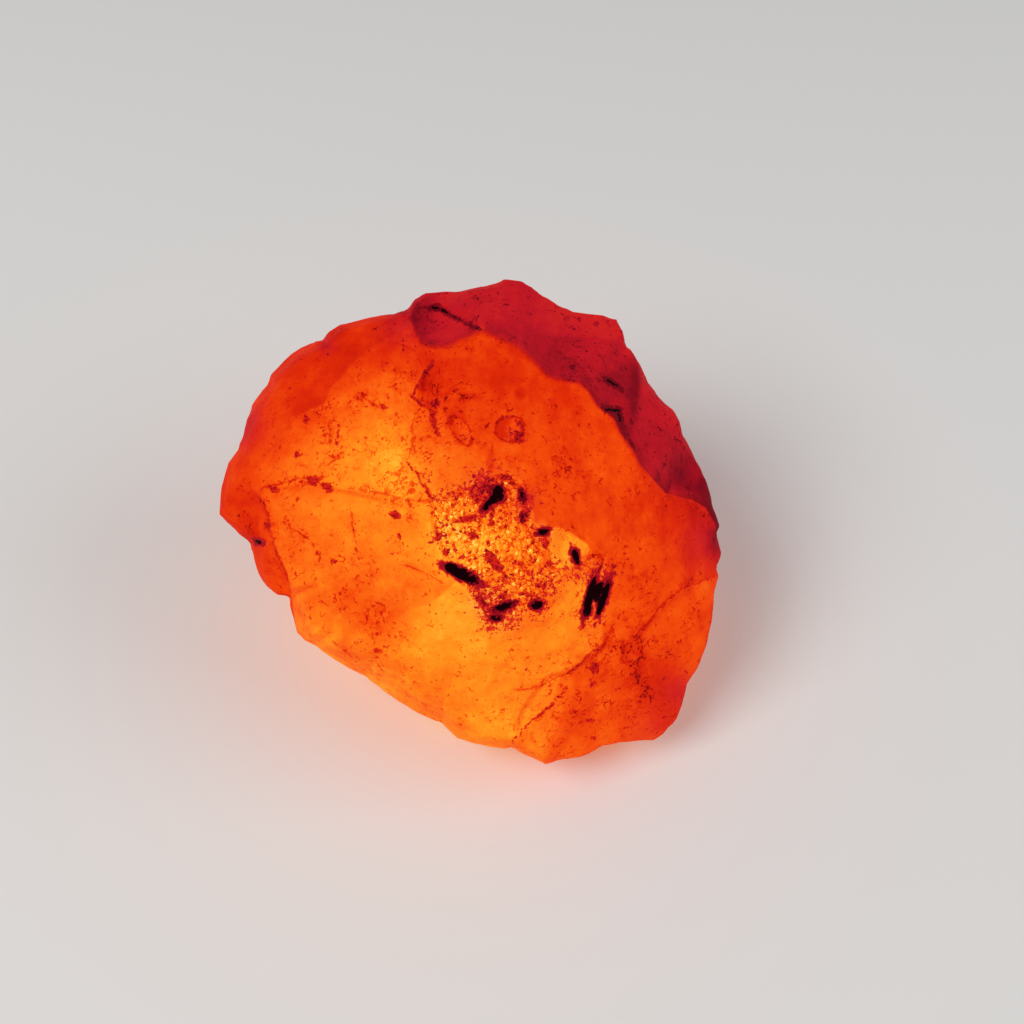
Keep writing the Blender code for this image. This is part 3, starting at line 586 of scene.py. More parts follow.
def depth_inside(across, up, outline):
    """Distance from a closed outline, positive inside it."""
    inside = np.zeros(len(across), bool)
    for (x0, y0), (x1, y1) in zip(outline, outline[1:] + outline[:1]):
        if y0 != y1:
            crossing = x0 + (up - y0) * (x1 - x0) / (y1 - y0)
            inside ^= ((y0 > up) != (y1 > up)) & (across < crossing)
    distance = np.abs(line_distance(across, up, outline + outline[:1])[0])
    return np.where(inside, distance, -distance)


def oval_share(across, up, oval):
    """0 in the middle of an oval (across, up, half length, half width, turn), and 1 on its edge."""
    x, y, half_length, half_width, turn = oval
    c, s = math.cos(math.radians(turn)), math.sin(math.radians(turn))
    dx, dy = across - x, up - y
    return np.hypot((dx * c + dy * s) / half_length, (dy * c - dx * s) / half_width)


def round_body(rays):
    """The distance to the rounded body along each ray."""
    across, up, out = rays.T
    flat = np.hypot(across, up) / radius_of(OUTLINE, np.arctan2(up, across))
    deep = np.abs(out) / np.where(out > 0, FRONT_DEPTH, BACK_DEPTH)
    return (flat**BODY_POWER + deep**BODY_POWER) ** (-1 / BODY_POWER)


def broken_body(rays):
    """The distance along each ray to the body or the first fracture plane, with slightly worn edges."""
    distance = round_body(rays)
    spots = rays * distance[:, None]
    nearness = distance**-BREAK_SHARPNESS
    for number, (turn, lean, away) in enumerate(FRACTURES.values()):
        turn, lean = math.radians(turn), math.radians(lean)
        facing = np.array([math.cos(lean) * math.cos(turn), math.cos(lean) * math.sin(turn), math.sin(lean)])
        wandering = away + FRACTURE_WANDER * swell(spots, FRACTURE_SWELLS, number + 1)
        nearness += (np.maximum(rays @ facing, 0) / wandering) ** BREAK_SHARPNESS
    return nearness ** (-1 / BREAK_SHARPNESS)


def breaks(points, relief):
    """How deep the scoops, chips and ripples of the broken surface lie: shallow in front, deep behind."""
    front = ramp(points[:, 2], *FRONT_FROM)
    depth = RIPPLE_DEPTH * swell(points, RIPPLE_SIZE, 32)
    for number, size in enumerate(BREAK_SIZES):
        deep = BACK_BREAKS[number] + (FRONT_BREAKS[number] - BACK_BREAKS[number]) * front
        depth += deep * bowls(points, size, 33 + number)
    depth += relief * (BACK_CHIPS + (FRONT_CHIPS - BACK_CHIPS) * front) * bowls(points, CHIP_SIZE, 36)
    return depth + relief * FINE_RIPPLE_DEPTH * swell(points, FINE_RIPPLE_SIZE, 37)


def widest_reach(points):
    """How far the points reach from the middle, at each point's own angle round the outline."""
    angle = np.arctan2(points[:, 1], points[:, 0])
    reach = np.hypot(points[:, 0], points[:, 1])
    slices = np.floor(angle / (2 * math.pi) * SLICES).astype(int) % SLICES
    widest = [reach[slices == number].max() for number in range(SLICES)]
    middles = (np.arange(SLICES) + 0.5) * 2 * math.pi / SLICES
    return np.interp(angle, middles, widest, period=2 * math.pi)


def smoothed(values, width):
    """A running mean of this many values."""
    padded = np.pad(values, width // 2, mode="edge")
    return np.convolve(padded, np.full(width, 1 / width), mode="valid")[:len(values)]


def drawn_out(points):
    """The points spread in the plane of the face, so that its outermost ones lie on the outline again."""
    widest = widest_reach(points)
    outline = radius_of(OUTLINE, np.arctan2(points[:, 1], points[:, 0]))
    share = np.minimum(np.hypot(points[:, 0], points[:, 1]) / widest, 1) ** 3
    drawn = points.copy()
    drawn[:, :2] *= (1 + (outline / widest - 1) * share)[:, None]
    return drawn


def break_margins(points):
    """The face broken down past each crest, from the height that it has there."""
    across, up, out = points.T
    broken = out.copy()
    for margin in MARGINS.values():
        away, along = line_distance(across, up, margin["crest"])
        on_crest = (out > 0) & (np.abs(away) < CREST_REACH)
        order = np.argsort(along[on_crest])
        height = np.interp(along, along[on_crest][order], smoothed(out[on_crest][order], CREST_MEAN))
        step = margin["step"] * fading(along, CREST_ENDS)
        facet = softly_above(height - step + margin["slope"] * away, FACET_FOOT)
        broken = np.where(away < 0, np.minimum(broken, facet), broken)
    return np.column_stack([across, up, broken])


def pressed_in(across, up):
    """How deep the ledges, cracks, scoops, hollow and pits press the face in."""
    depth = np.zeros(len(across))
    for ledge in LEDGES.values():
        away, along = line_distance(across, up, ledge["line"])
        step = ramp(away, -LEDGE_SOFTNESS, LEDGE_SOFTNESS) * fading(along, LEDGE_ENDS)
        depth += ledge["drop"] * step * np.exp(-((away / ledge["reach"]) ** 2))
    for crack in CRACKS.values():
        away, along = line_distance(across, up, crack["line"])
        depth += crack["depth"] * fading(along, CRACK_ENDS) * np.exp(-((away / crack["width"]) ** 2))
    for dips, wall in ((SCOOPS, SCOOP_WALL), (PITS, PIT_WALL)):
        for *oval, deep in dips.values():
            depth += deep * (1 - ramp(oval_share(across, up, oval), *wall))
    return depth


def hollow_depth(points, relief):
    """How deep the lumpy, grainy floor of the granular hollow lies."""
    floor = ramp(depth_inside(points[:, 0], points[:, 1], HOLLOW), *HOLLOW_WALL)
    lumps = bowls(points, GRAIN_SIZE, 41) + 0.5 * swell(points, 0.7 * GRAIN_SIZE, 42)
    grains = relief * FINE_GRAIN_HEIGHT * bowls(points, FINE_GRAIN_SIZE, 43)
    return floor * (HOLLOW_DEPTH - GRAIN_HEIGHT * lumps - grains + FINE_GRAIN_HEIGHT / 2)


def face_on_points(rays, relief):
    """The points of the stone's surface laid out face on, in millimetres, for unit rays."""
    points = rays * broken_body(rays)[:, None]
    points = break_margins(drawn_out(points - rays * breaks(points, relief)[:, None]))
    face = ramp(points[:, 2], *FACE_FROM)
    points[:, 2] -= face * (pressed_in(points[:, 0], points[:, 1]) + hollow_depth(points, relief))
    return points


def leaned_back(points):
    """The face-on points set in perspective and leaned back on the underside."""
    across, up, out = points.T
    across = across * (1 - out / EYE_DISTANCE)
    up = up * (1 - out / EYE_DISTANCE)
    rise, run = math.sin(FACE_ELEVATION), math.cos(FACE_ELEVATION)
    return np.column_stack([across, up * rise - out * run, up * run + out * rise + RESTING_HEIGHT])


def margin_weights(points):
    """1 on the broken margins of the face, away from their crests, and 0 elsewhere."""
    weight = np.zeros(len(points))
    for margin in MARGINS.values():
        away = line_distance(points[:, 0], points[:, 1], margin["crest"])[0]
        weight = np.maximum(weight, ramp(-away, *MARGIN_AWAY))
    return weight * ramp(points[:, 2], *MARGIN_UP)


# ---------------------------------------------------------------------------- the marks and the painted glow on the stone


def zone_sum(across, up, zones):
    """The changes of round, soft zones (across, up, radius, change) added up."""
    total = np.zeros(len(across))
    for x, y, radius, change in zones:
        total += change * np.exp(-((across - x) ** 2 + (up - y) ** 2) / radius**2)
    return total


def oval_distance(across, up, ovals):
    """Distance in millimetres to the nearest of the ovals, negative inside one."""
    nearest = np.full(len(across), 1e9)
    for oval in ovals:
        nearest = np.minimum(nearest, (oval_share(across, up, oval) - 1) * min(oval[2], oval[3]))
    return nearest


def strip_distance(across, up, strips):
    """Distance to the nearest of the strips (line, half width), negative inside one."""
    return np.min([np.abs(line_distance(across, up, line)[0]) - half for line, half in strips], axis=0)


def pit_distance(across, up):
    """Distance to the nearest black pit or black line, negative inside it."""
    nearest = strip_distance(across, up, BLACK_LINES)
    for name, pit in PITS.items():
        nearest = np.minimum(nearest, oval_distance(across, up, [pit[:5]]) + DIM_PITS.get(name, 0))
    return nearest


def stain_distance(across, up):
    """Distance to the nearest dark red mark, negative inside it."""
    ovals = RED_OVALS + [PITS[name][:5] for name in DIM_PITS]
    return np.minimum(oval_distance(across, up, ovals), strip_distance(across, up, RED_LINES))


def vein_distance(across, up):
    """The signed distance to the nearest vein or ring, which draws a thin line, and its plain size."""
    distances = [line_distance(across, up, vein)[0] for vein in VEINS]
    distances += [oval_distance(across, up, [ring]) for ring in RINGS]
    nearest = np.argmin(np.abs(distances), axis=0)
    signed = np.array(distances)[nearest, np.arange(len(across))]
    return signed, np.abs(signed)


def edge_fields(across, up):
    """For each edge its distance, in its own softnesses and negative where the glow changes, and its change."""
    fields = {}
    for name, edge in EDGES.items():
        if edge.get("closed"):
            away, along = -depth_inside(across, up, edge["line"]), np.zeros(len(across))
        else:
            away, along = line_distance(across, up, edge["line"])
        soft = np.interp(along, *zip(*edge["soft"]))
        fields[name] = away / soft
        fields[name + "_lift"] = np.interp(along, *zip(*edge["lift"])) * np.exp(-((away / edge["reach"]) ** 2))
    return fields


def glow_of(points, normals):
    """How brightly each point glows, as painted light: painted zones of light and shade and ovals where it is
    lower on the face, and elsewhere painted light that is brighter towards the ground, with painted shade where
    the sides look up.
    """
    across, up, out = points.T
    face = FACE_GLOW + zone_sum(across, up, GLOW_ZONES)
    for *oval, change in GLOW_DIPS:
        face += change * (1 - ramp(oval_share(across, up, oval), *GLOW_DIP_EDGE))
    heights, glows = zip(*SIDE_GLOW)
    side = np.interp(leaned_back(points)[:, 2], heights, glows) - SIDE_SHADE * normals[:, 2]
    front = ramp(out, *GLOW_FROM)
    return side + (face - side) * front + DAPPLE * swell(points, DAPPLE_SIZE, 51), front


def fields_of(points, normals, sheer):
    """Every number that the stone's material reads, for each point; the thin marks fade where it is sheer."""
    across, up, out = points.T
    glow, front = glow_of(points, normals)
    signed, near = vein_distance(across, up)
    behind = np.where(out > BEHIND, 0, FAR)
    fields = {
        "glow": glow, "front": front, "hollow": np.where(out > BEHIND, depth_inside(across, up, HOLLOW), -FAR),
        "pit": pit_distance(across, up) + behind, "stain": stain_distance(across, up) + behind + sheer,
        "vein": np.clip(signed, -1, 1), "vein_near": near + behind + sheer,
        "specks": SPECKS + front * zone_sum(across, up, SPECK_ZONES),
        "crust": front * zone_sum(across, up, CRUST_ZONES),
    }
    # Past the crest of the dark band the glow turns crimson: painted shade of a side turned away from the
    # light.
    in_band = ramp(-line_distance(across, up, MARGINS["dark_band"]["crest"])[0], *CRIMSON_FROM)
    crimson = np.clip(in_band + zone_sum(across, up, CRIMSON_ZONES), 0, 1)
    fields["crimson"] = crimson * front + CRIMSON_BEHIND * (1 - front)
    fields.update(edge_fields(across, up))
    return fields


# ---------------------------------------------------------------------------- the mesh of the stone


def split(sphere, wanted):
    """Splits the wanted faces of a bmesh sphere into four, and keeps all its points on the sphere."""
    for face, chosen in zip(sphere.faces, wanted):
        face.tag = bool(chosen)
    edges = [edge for edge in sphere.edges if any(face.tag for face in edge.link_faces)]
    bmesh.ops.subdivide_edges(sphere, edges=edges, cuts=1, use_grid_fill=True)
    bmesh.ops.triangulate(sphere, faces=[face for face in sphere.faces if len(face.verts) > 3])
    for vertex in sphere.verts:
        vertex.co.normalize()


def ray_sphere():
    """A unit sphere whose points are close where they face forward, and closest over the granular hollow."""
    sphere = bmesh.new()
    bmesh.ops.create_icosphere(sphere, subdivisions=RAY_LEVEL, radius=1)
    centres = np.array([face.calc_center_median() for face in sphere.faces])
    split(sphere, centres[:, 2] > FRONT_SPLIT)
    centres = np.array([face.calc_center_median().normalized() for face in sphere.faces])
    spots = drawn_out(centres * round_body(centres)[:, None])
    spots[:, :2] *= FACE_HEIGHT / np.maximum(spots[:, 2:], FACE_HEIGHT)
    split(sphere, (depth_inside(spots[:, 0], spots[:, 1], HOLLOW) > HOLLOW_SPLIT) & (spots[:, 2] > 0))
    return sphere


def relaxed(values, edges, passes, weights=1.0):
    """The values drawn towards the mean of their neighbours', by their weights."""
    ends, others = np.concatenate([edges, edges[:, ::-1]]).T
    counts = np.bincount(ends, minlength=len(values))
    for _ in range(passes):
        means = np.bincount(ends, values[others], len(values)) / counts
        values = values + 0.5 * weights * (means - values)
    return values


def fitted(points):
    """The points, in metres, moved and scaled by a hair to the box of the solid."""
    low, high = (np.array(corner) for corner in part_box(NODE))
    above = points[points[:, 2] > 0]
    lowest, highest = above.min(axis=0), above.max(axis=0)
    lowest[2] = 0
    return low + (points - lowest) * (high - low) / (highest - lowest)


def cut_flat(mesh):
    """Cuts away what is below the ground, and closes the cut with a flat face."""
    stone = bmesh.new()
    stone.from_mesh(mesh)
    everything = stone.verts[:] + stone.edges[:] + stone.faces[:]
    cut = bmesh.ops.bisect_plane(
        stone, geom=everything, dist=1e-7, plane_co=(0, 0, 0), plane_no=(0, 0, -1), clear_outer=True
    )
    rim = [item for item in cut["geom_cut"] if isinstance(item, bmesh.types.BMEdge)]
    bmesh.ops.dissolve_degenerate(stone, dist=1e-6, edges=rim)
    rim = [edge for edge in stone.edges if edge.is_boundary]
    filled = bmesh.ops.holes_fill(stone, edges=rim)["faces"]
    bmesh.ops.triangulate(stone, faces=filled)
    stone.normal_update()
    for edge in stone.edges:
        lying = [abs(face.normal.z) > 0.999 and face.calc_center_median().z < 1e-6 for face in edge.link_faces]
        edge.smooth = all(lying) or not any(lying)
    stone.to_mesh(mesh)
    stone.free()


def numbers_of(items, name, width, kind=float):
    """One property of all these vertices or edges, as rows of numbers."""
    values = np.empty(len(items) * width, kind)
    items.foreach_get(name, values)
    return values.reshape(-1, width)


def stone_mesh(relief):
    """The stone at its place, with the fields that its material reads."""
    sphere = ray_sphere()
    mesh = bpy.data.meshes.new("stone")
    sphere.to_mesh(mesh)
    sphere.free()
    rays = numbers_of(mesh.vertices, "co", 3)
    edges = numbers_of(mesh.edges, "vertices", 2, int)
    laid_out = face_on_points(rays / np.linalg.norm(rays, axis=1)[:, None], relief)
    laid_out[:, 2] = relaxed(laid_out[:, 2], edges, MARGIN_PASSES, margin_weights(laid_out))
    mesh.vertices.foreach_set("co", fitted(leaned_back(laid_out)).ravel())
    mesh.update()
    normals = numbers_of(mesh.vertices, "normal", 3)
    turned, facing = normals @ np.array(LIT_FROM), normals @ np.array(FACE_NORMAL)
    sheer = 1 - ramp(relaxed(facing, edges, LIT_PASSES), *SHEER)
    fields = fields_of(laid_out, normals, sheer)
    # Painted light and shade of the relief: the glow gains where the surface turns to LIT_FROM and loses where
    # it turns away, against the smoothed surface round it.
    painted_relief_shading = LIT_SHARE * (1 - MARGIN_UNLIT * margin_weights(laid_out))
    painted_relief_shading *= turned - relaxed(turned, edges, LIT_PASSES)
    fields["glow"] += LIT_LIMIT * np.tanh(painted_relief_shading / LIT_LIMIT)
    for name, values in fields.items():
        mesh.attributes.new(name, "FLOAT", "POINT").data.foreach_set("value", values.astype(np.float32))
    mesh.shade_smooth()
    cut_flat(mesh)
    return mesh


# ---------------------------------------------------------------------------- materials


# Noises by what they draw, as (size in millimetres, detail, roughness, shift).
NOISES = {
    "edge wander": (1.0, 3.0, 0.6, 0.0),
    "large cloud": (3.4, 2.0, 0.6, 1.0),
    "small cloud": (1.1, 3.0, 0.6, 2.0),
    "mottle": (0.30, 2.0, 0.6, 3.0),
    "speck drift": (2.2, 2.0, 0.6, 4.0),
    "speck depth": (0.9, 2.0, 0.6, 13.0),
    "faint speck": (0.60, 3.0, 0.65, 5.0),
    "stroke": (0.85, 1.0, 0.5, 5.0),
    "stroke patch": (0.68, 1.0, 0.5, 8.0),
    "vein break": (0.7, 3.0, 0.6, 6.0),
    "vein bend": (0.9, 3.0, 0.6, 12.0),
    "seam": (0.75, 2.0, 0.5, 16.0),
    "seam patch": (0.9, 2.0, 0.6, 7.0),
    "crust": (0.40, 3.0, 0.75, 14.0),
    "grain": (0.26, 2.0, 0.6, 18.0),
    "stain edge": (0.38, 3.0, 0.60, 17.0),
    "pit edge": (0.50, 2.0, 0.55, 8.0),
    "polish": (0.8, 3.0, 0.6, 9.0),
    "fine relief": (0.16, 2.0, 0.6, 10.0),
    "coarse relief": (0.55, 3.0, 0.6, 11.0),
    "crystal cluster": (1.5, 2.0, 0.6, 15.0),
    "red crystals": (1.0, 2.0, 0.6, 19.0),
    "floor": (900.0, 2.0, 0.6, 0.0),
}

# The colours of the painted glow by its strength, the same seen through the thick, crimson parts, and the pits'
# black.
GLOW_COLOURS = [
    (0.00, (0.060, 0.001, 0.002)), (0.15, (0.230, 0.003, 0.002)), (0.28, (0.560, 0.009, 0.002)),
    (0.42, (0.720, 0.024, 0.002)), (0.55, (0.880, 0.070, 0.003)), (0.68, (0.950, 0.155, 0.007)),
    (0.80, (0.970, 0.270, 0.011)), (0.92, (0.985, 0.430, 0.026)), (1.00, (1.000, 0.620, 0.090)),
]
CRIMSON_COLOURS = [
    (0.00, (0.060, 0.001, 0.005)), (0.15, (0.220, 0.003, 0.010)), (0.28, (0.510, 0.008, 0.016)),
    (0.42, (0.700, 0.022, 0.013)), (0.55, (0.820, 0.060, 0.008)), (1.00, (1.000, 0.620, 0.090)),
]
PIT_BLACK = (0.008, 0.0008, 0.002, 1)

# The share of the glow's colour that the cloudy stone sends back from light that falls on it, so that the
# painted light and shade are in its base colour too; the glow of its darkest marks, and how far a mark lies
# under the glow round it at the least.
BODY_SHARE = 0.2
LEAST_GLOW = 0.10
LEAST_DROP = 0.14

# How far the edges of the face wander, in their own softnesses; how much each kind of cloud changes the
# glow, and how much fainter that is where the stone is crimson.
EDGE_WANDER = 1.2
CLOUDS = {"large cloud": 0.22, "small cloud": 0.14, "mottle": 0.07}
CRIMSON_CLEARNESS = 0.5

# Specks: where their drifts begin and how strong they are, the share of their field, how many more lie by
# the veins, and how dark they are. A row such as (low, high, from, to) is a curve of one number by another.
DRIFT_LEVEL = 0.52
DRIFT_STRENGTH = 1.6
SPECK_SHARE = 0.45
SPECKS_BY_VEINS = (0.2, 1.0, 0.10, 0.0)
SPECK_DEPTHS = (0.35, 0.62, 0.08, 0.26)

# Dots and blots: the size of their cells in millimetres and their seed; how much finer than a cell their
# raggedness is and how far it reaches, and in cells the radius of the least dot and the softness of its edge.
DOTS = (0.42, 3.0)
BLOTS = (0.75, 7.0)
MORE_DOTS = 0.12
DOT_RAGGEDNESS = 2.5
DOT_RAG_REACH = 0.9
DOT_CHANCE = (0.0, 0.01, -0.3, 0.16)
DOT_GROWTH = 0.5
DOT_EDGE = (-0.08, 0.04, 1, 0)

# Crooked strokes: their edge, and the patches that they lie in. The faintest specks, which only tint.
STROKE_EDGE = (0.018, 0.04, 1, 0)
STROKE_SHARE = 0.35
STROKE_PATCHES = (0.64, 0.70)
FAINT_SHARE = 0.30
FAINT_DEPTHS = (0.60, 0.70, 0.0, 0.05)

# Veins: how far they bend, their half widths, their edge and where they end; the smear round them.
VEIN_BEND = 0.7
VEIN_WIDTHS = (0.34, 0.64, 0.0, 0.17)
VEIN_EDGE = (-0.05, 0.05, 1, 0)
VEIN_END = (0.4, 0.5, 1, 0)
VEIN_DROP = -0.15
SMEAR_REACH = (0.0, 0.8, 1, 0)
SMEAR_GAPS = (0.35, 0.65)
SMEAR_DROP = -0.05

# The hollow: where its grains begin, and the seams and the crust between and on them.
HOLLOW_EDGE = (-0.1, 0.3)
SEAM_EDGE = (0.015, 0.045, 1, 0)
SEAM_PATCHES = (0.42, 0.50)
SEAM_DROP = -0.28
CRUST_SHARE = 0.27
CRUST_CLUMPS = (0.63, 0.71, 0.0, 0.9)
CRUST_LEVELS = (0.18, 0.44)
CRUST_CRIMSON = 0.85
GRAIN_SPREAD = (0.36, 0.62)

# Dark red marks: how far their edges are torn, and on the stone and on the crystals their edge, the levels
# of their glow and how crimson they are.
STAIN_TEAR = 0.8
STONE_STAINS = ((-0.05, 0.10, 0.95, 0.0), (0.17, 0.40), 0.35)
CRYSTAL_STAINS = ((-0.05, 0.12, 0.95, 0.0), (0.12, 0.38), 0.8)

# Black pits: how ragged they and their crimson borders are, and on the stone and on the crystals the reach
# and the glow of the border, and the edge of the black.
PIT_RAGS = 0.45
BORDER_RAGS = 0.9
STONE_BORDER = ((0.08, 0.32, 1, 0), 0.22)
CRYSTAL_BORDER = ((0.10, 0.38, 1, 0), 0.20)
STONE_BLACK = (-0.06, 0.03, 1, 0)
CRYSTAL_BLACK = (-0.15, 0.05, 1, 0)

# The stone's skin: how much its roughness varies and is lowered for that, how much the fine relief and the
# specks count in the bump, and the bump's height in millimetres and strength.
POLISH_SPREAD = 0.25
POLISH_DROP = 0.12
FINE_RELIEF_SHARE = 0.35
SPECK_DENT = -0.4
BUMP = (0.10, 0.6)

# Crystals: how much clusters vary, the glow by each one's own tone, and of the brightest few, which are painted
# glints; how much a facet that faces the lit side gains, as painted light and shade of the facets; the dark red
# ones; and their roughness.
CLUSTER_SHARE = 0.75
TONES = (0.0, 1.0, -0.06, 0.12)
GLINT_TONES = (0.93, 0.96, 0.0, 0.18)
FACET_LEVEL = 0.6
FACET_GAIN = 0.14
RED_SHARE = 0.9
RED_LEVEL = -0.42
RED_TONES = (0.10, 0.16, 0.9, 0.0)
RED_CRYSTAL_LEVELS = (0.20, 0.44)
RED_CRYSTAL_CRIMSON = 0.5
CRYSTAL_ROUGHNESS = 0.45

# The floor: the darkest share of its colour, its roughness and its gloss.
FLOOR_SHADE = 0.97
FLOOR_ROUGHNESS = 0.85
FLOOR_GLOSS = 0.1


class Wiring:
    """Adds nodes to a material, with the few kinds of sum that the materials need."""

    def __init__(self, name):
        self.material = bpy.data.materials.new(name)
        self.material.use_nodes = True
        self.material.cycles.emission_sampling = "NONE"
        self.tree = self.material.node_tree
        self.shader = self.tree.nodes["Principled BSDF"]

    def put(self, socket, value):
        if isinstance(value, bpy.types.NodeSocket):
            self.tree.links.new(value, socket)
        else:
            socket.default_value = value

    def node(self, kind, **settings):
        made = self.tree.nodes.new(kind)
        for name, value in settings.items():
            setattr(made, name, value)
        return made

    def field(self, name):
        return self.node("ShaderNodeAttribute", attribute_name=name).outputs["Fac"]

    def place(self):
        return self.node("ShaderNodeTexCoord").outputs["Object"]

    def sum(self, operation, *values):
        made = self.node("ShaderNodeMath", operation=operation)
        for socket, value in zip(made.inputs, values):
            self.put(socket, value)
        return made.outputs[0]

    def plus(self, value, added, share=None):
        """The value with something added, or with a share of it."""
        if share is None:
            return self.sum("ADD", value, added)
        return self.sum("MULTIPLY_ADD", added, share, value)

    def minus(self, value, taken):
        return self.sum("SUBTRACT", value, taken)

    def times(self, value, share):
        return self.sum("MULTIPLY", value, share)

    def most(self, first, second):
        return self.sum("MAXIMUM", first, second)

    def between(self, value, low, high, to_low=0.0, to_high=1.0):
        """to_low where value is under low, to_high where it is over high, and a smooth curve between."""
        made = self.node("ShaderNodeMapRange", interpolation_type="SMOOTHSTEP")
        for socket, given in zip(made.inputs, (value, low, high, to_low, to_high)):
            self.put(socket, given)
        return made.outputs[0]

    def towards(self, glow, level, share):
        """The glow drawn down to this level, and by the least drop at any rate, where the share is 1."""
        drop = self.sum("MINIMUM", self.minus(level, glow), -LEAST_DROP)
        return self.plus(glow, drop, share)

    def noise(self, name):
        """One of the noises, from 0 to 1, on Object coordinates."""
        size, detail, roughness, shift = NOISES[name]
        place = self.node("ShaderNodeMapping")
        place.inputs["Location"].default_value = (shift, shift, shift)
        self.put(place.inputs["Vector"], self.place())
        made = self.node("ShaderNodeTexNoise")
        made.inputs["Scale"].default_value = 1 / (size * MM)
        made.inputs["Detail"].default_value = detail
        made.inputs["Roughness"].default_value = roughness
        self.put(made.inputs["Vector"], place.outputs[0])
        return made.outputs["Fac"]

    def swing(self, name):
        """One of the noises, from -0.5 to 0.5."""
        return self.minus(self.noise(name), 0.5)

    def near_zero(self, value, edge):
        """1 where the value is near 0, up to this edge."""
        return self.between(self.sum("ABSOLUTE", value), *edge)

    def dots(self, size, seed, thick):
        """Ragged dots, at most one to a cell of this size, and more and larger where it is thick."""
        ragged = self.node("ShaderNodeTexNoise")
        ragged.inputs["Scale"].default_value = DOT_RAGGEDNESS / (size * MM)
        self.put(ragged.inputs["Vector"], self.place())
        warp = self.node("ShaderNodeMapping")
        warp.inputs["Location"].default_value = (seed, seed, seed)
        warp.inputs["Scale"].default_value = [DOT_RAG_REACH * size * MM] * 3
        self.put(warp.inputs["Vector"], ragged.outputs["Color"])
        place = self.node("ShaderNodeVectorMath", operation="ADD")
        self.put(place.inputs[0], self.place())
        self.put(place.inputs[1], warp.outputs[0])
        cells = self.node("ShaderNodeTexVoronoi")
        cells.inputs["Scale"].default_value = 1 / (size * MM)
        self.put(cells.inputs["Vector"], place.outputs[0])
        chance = self.minus(self.plus(cells.outputs["Color"], thick), 1.0)
        radius = self.plus(self.between(chance, *DOT_CHANCE), chance, DOT_GROWTH)
        return self.between(self.minus(cells.outputs["Distance"], radius), *DOT_EDGE)

    def strokes(self, thick):
        """Short crooked strokes, and more of them where it is thick."""
        stroke = self.near_zero(self.swing("stroke"), STROKE_EDGE)
        patch = self.plus(self.noise("stroke patch"), thick, STROKE_SHARE)
        return self.times(stroke, self.between(patch, *STROKE_PATCHES))

    def ramp(self, value, stops):
        made = self.node("ShaderNodeValToRGB")
        elements = made.color_ramp.elements
        for number, (place, colour) in enumerate(stops):
            stop = elements[number] if number < 2 else elements.new(place)
            stop.position = place
            stop.color = (*colour, 1)
        self.put(made.inputs["Fac"], value)
        return made.outputs["Color"]

    def mix(self, share, first, second):
        made = self.node("ShaderNodeMix", data_type="RGBA")
        self.put(made.inputs["Factor"], share)
        self.put(made.inputs["A"], first)
        self.put(made.inputs["B"], second)
        return next(socket for socket in made.outputs if socket.type == "RGBA")

    def bump(self, height, distance, strength):
        made = self.node("ShaderNodeBump")
        made.inputs["Distance"].default_value = distance * MM
        made.inputs["Strength"].default_value = strength
        self.put(made.inputs["Height"], height)
        return made.outputs["Normal"]


def painted_glow_skin(wiring, glow, crimson, dark, settings):
    """Colours the shader by the painted glow, with black where dark is 1, and gives out the same colour as
    emission: painted light.
    """
    glow = wiring.most(glow, LEAST_GLOW)
    colour = wiring.mix(crimson, wiring.ramp(glow, GLOW_COLOURS), wiring.ramp(glow, CRIMSON_COLOURS))
    colour = wiring.mix(dark, colour, PIT_BLACK)
    wiring.put(wiring.shader.inputs["Base Color"], wiring.mix(BODY_SHARE, (0, 0, 0, 1), colour))
    wiring.put(wiring.shader.inputs["Emission Color"], colour)
    wiring.shader.inputs["Emission Strength"].default_value = settings.painted_glow_strength
    wiring.shader.inputs["Specular IOR Level"].default_value = settings.gloss


def past_edges(wiring, glow):
    """The glow with the painted light and shade past each edge of the face."""
    wander = wiring.times(wiring.swing("edge wander"), EDGE_WANDER)
    for name in EDGES:
        away = wiring.plus(wiring.field(name), wander)
        side = wiring.times(wiring.between(away, -1, 1, 1, 0), wiring.field("front"))
        glow = wiring.plus(glow, wiring.field(name + "_lift"), side)
    return glow


def clouded(wiring, glow):
    """The glow with cloudy patches and the fine mottle of broken crystal."""
    clear = wiring.plus(1.0, wiring.field("crimson"), -CRIMSON_CLEARNESS)
    for name, change in CLOUDS.items():
        glow = wiring.plus(glow, wiring.swing(name), wiring.times(change, clear))
    return glow


def specked(wiring, glow):
    """The glow under the specks, and the specks, which lie in drifts: dots, blots and strokes, some darker."""
    drift = wiring.times(wiring.minus(wiring.noise("speck drift"), DRIFT_LEVEL), DRIFT_STRENGTH)
    thick = wiring.plus(drift, wiring.field("specks"), SPECK_SHARE)
    thick = wiring.plus(thick, wiring.between(wiring.field("vein_near"), *SPECKS_BY_VEINS))
    dots, blots = wiring.dots(*DOTS, wiring.plus(thick, MORE_DOTS)), wiring.dots(*BLOTS, thick)
    specks = wiring.most(wiring.most(dots, blots), wiring.strokes(thick))
    depth = wiring.between(wiring.noise("speck depth"), *SPECK_DEPTHS)
    glow = wiring.minus(glow, wiring.times(specks, depth))
    faint = wiring.plus(wiring.noise("faint speck"), thick, FAINT_SHARE)
    return wiring.minus(glow, wiring.between(faint, *FAINT_DEPTHS)), specks


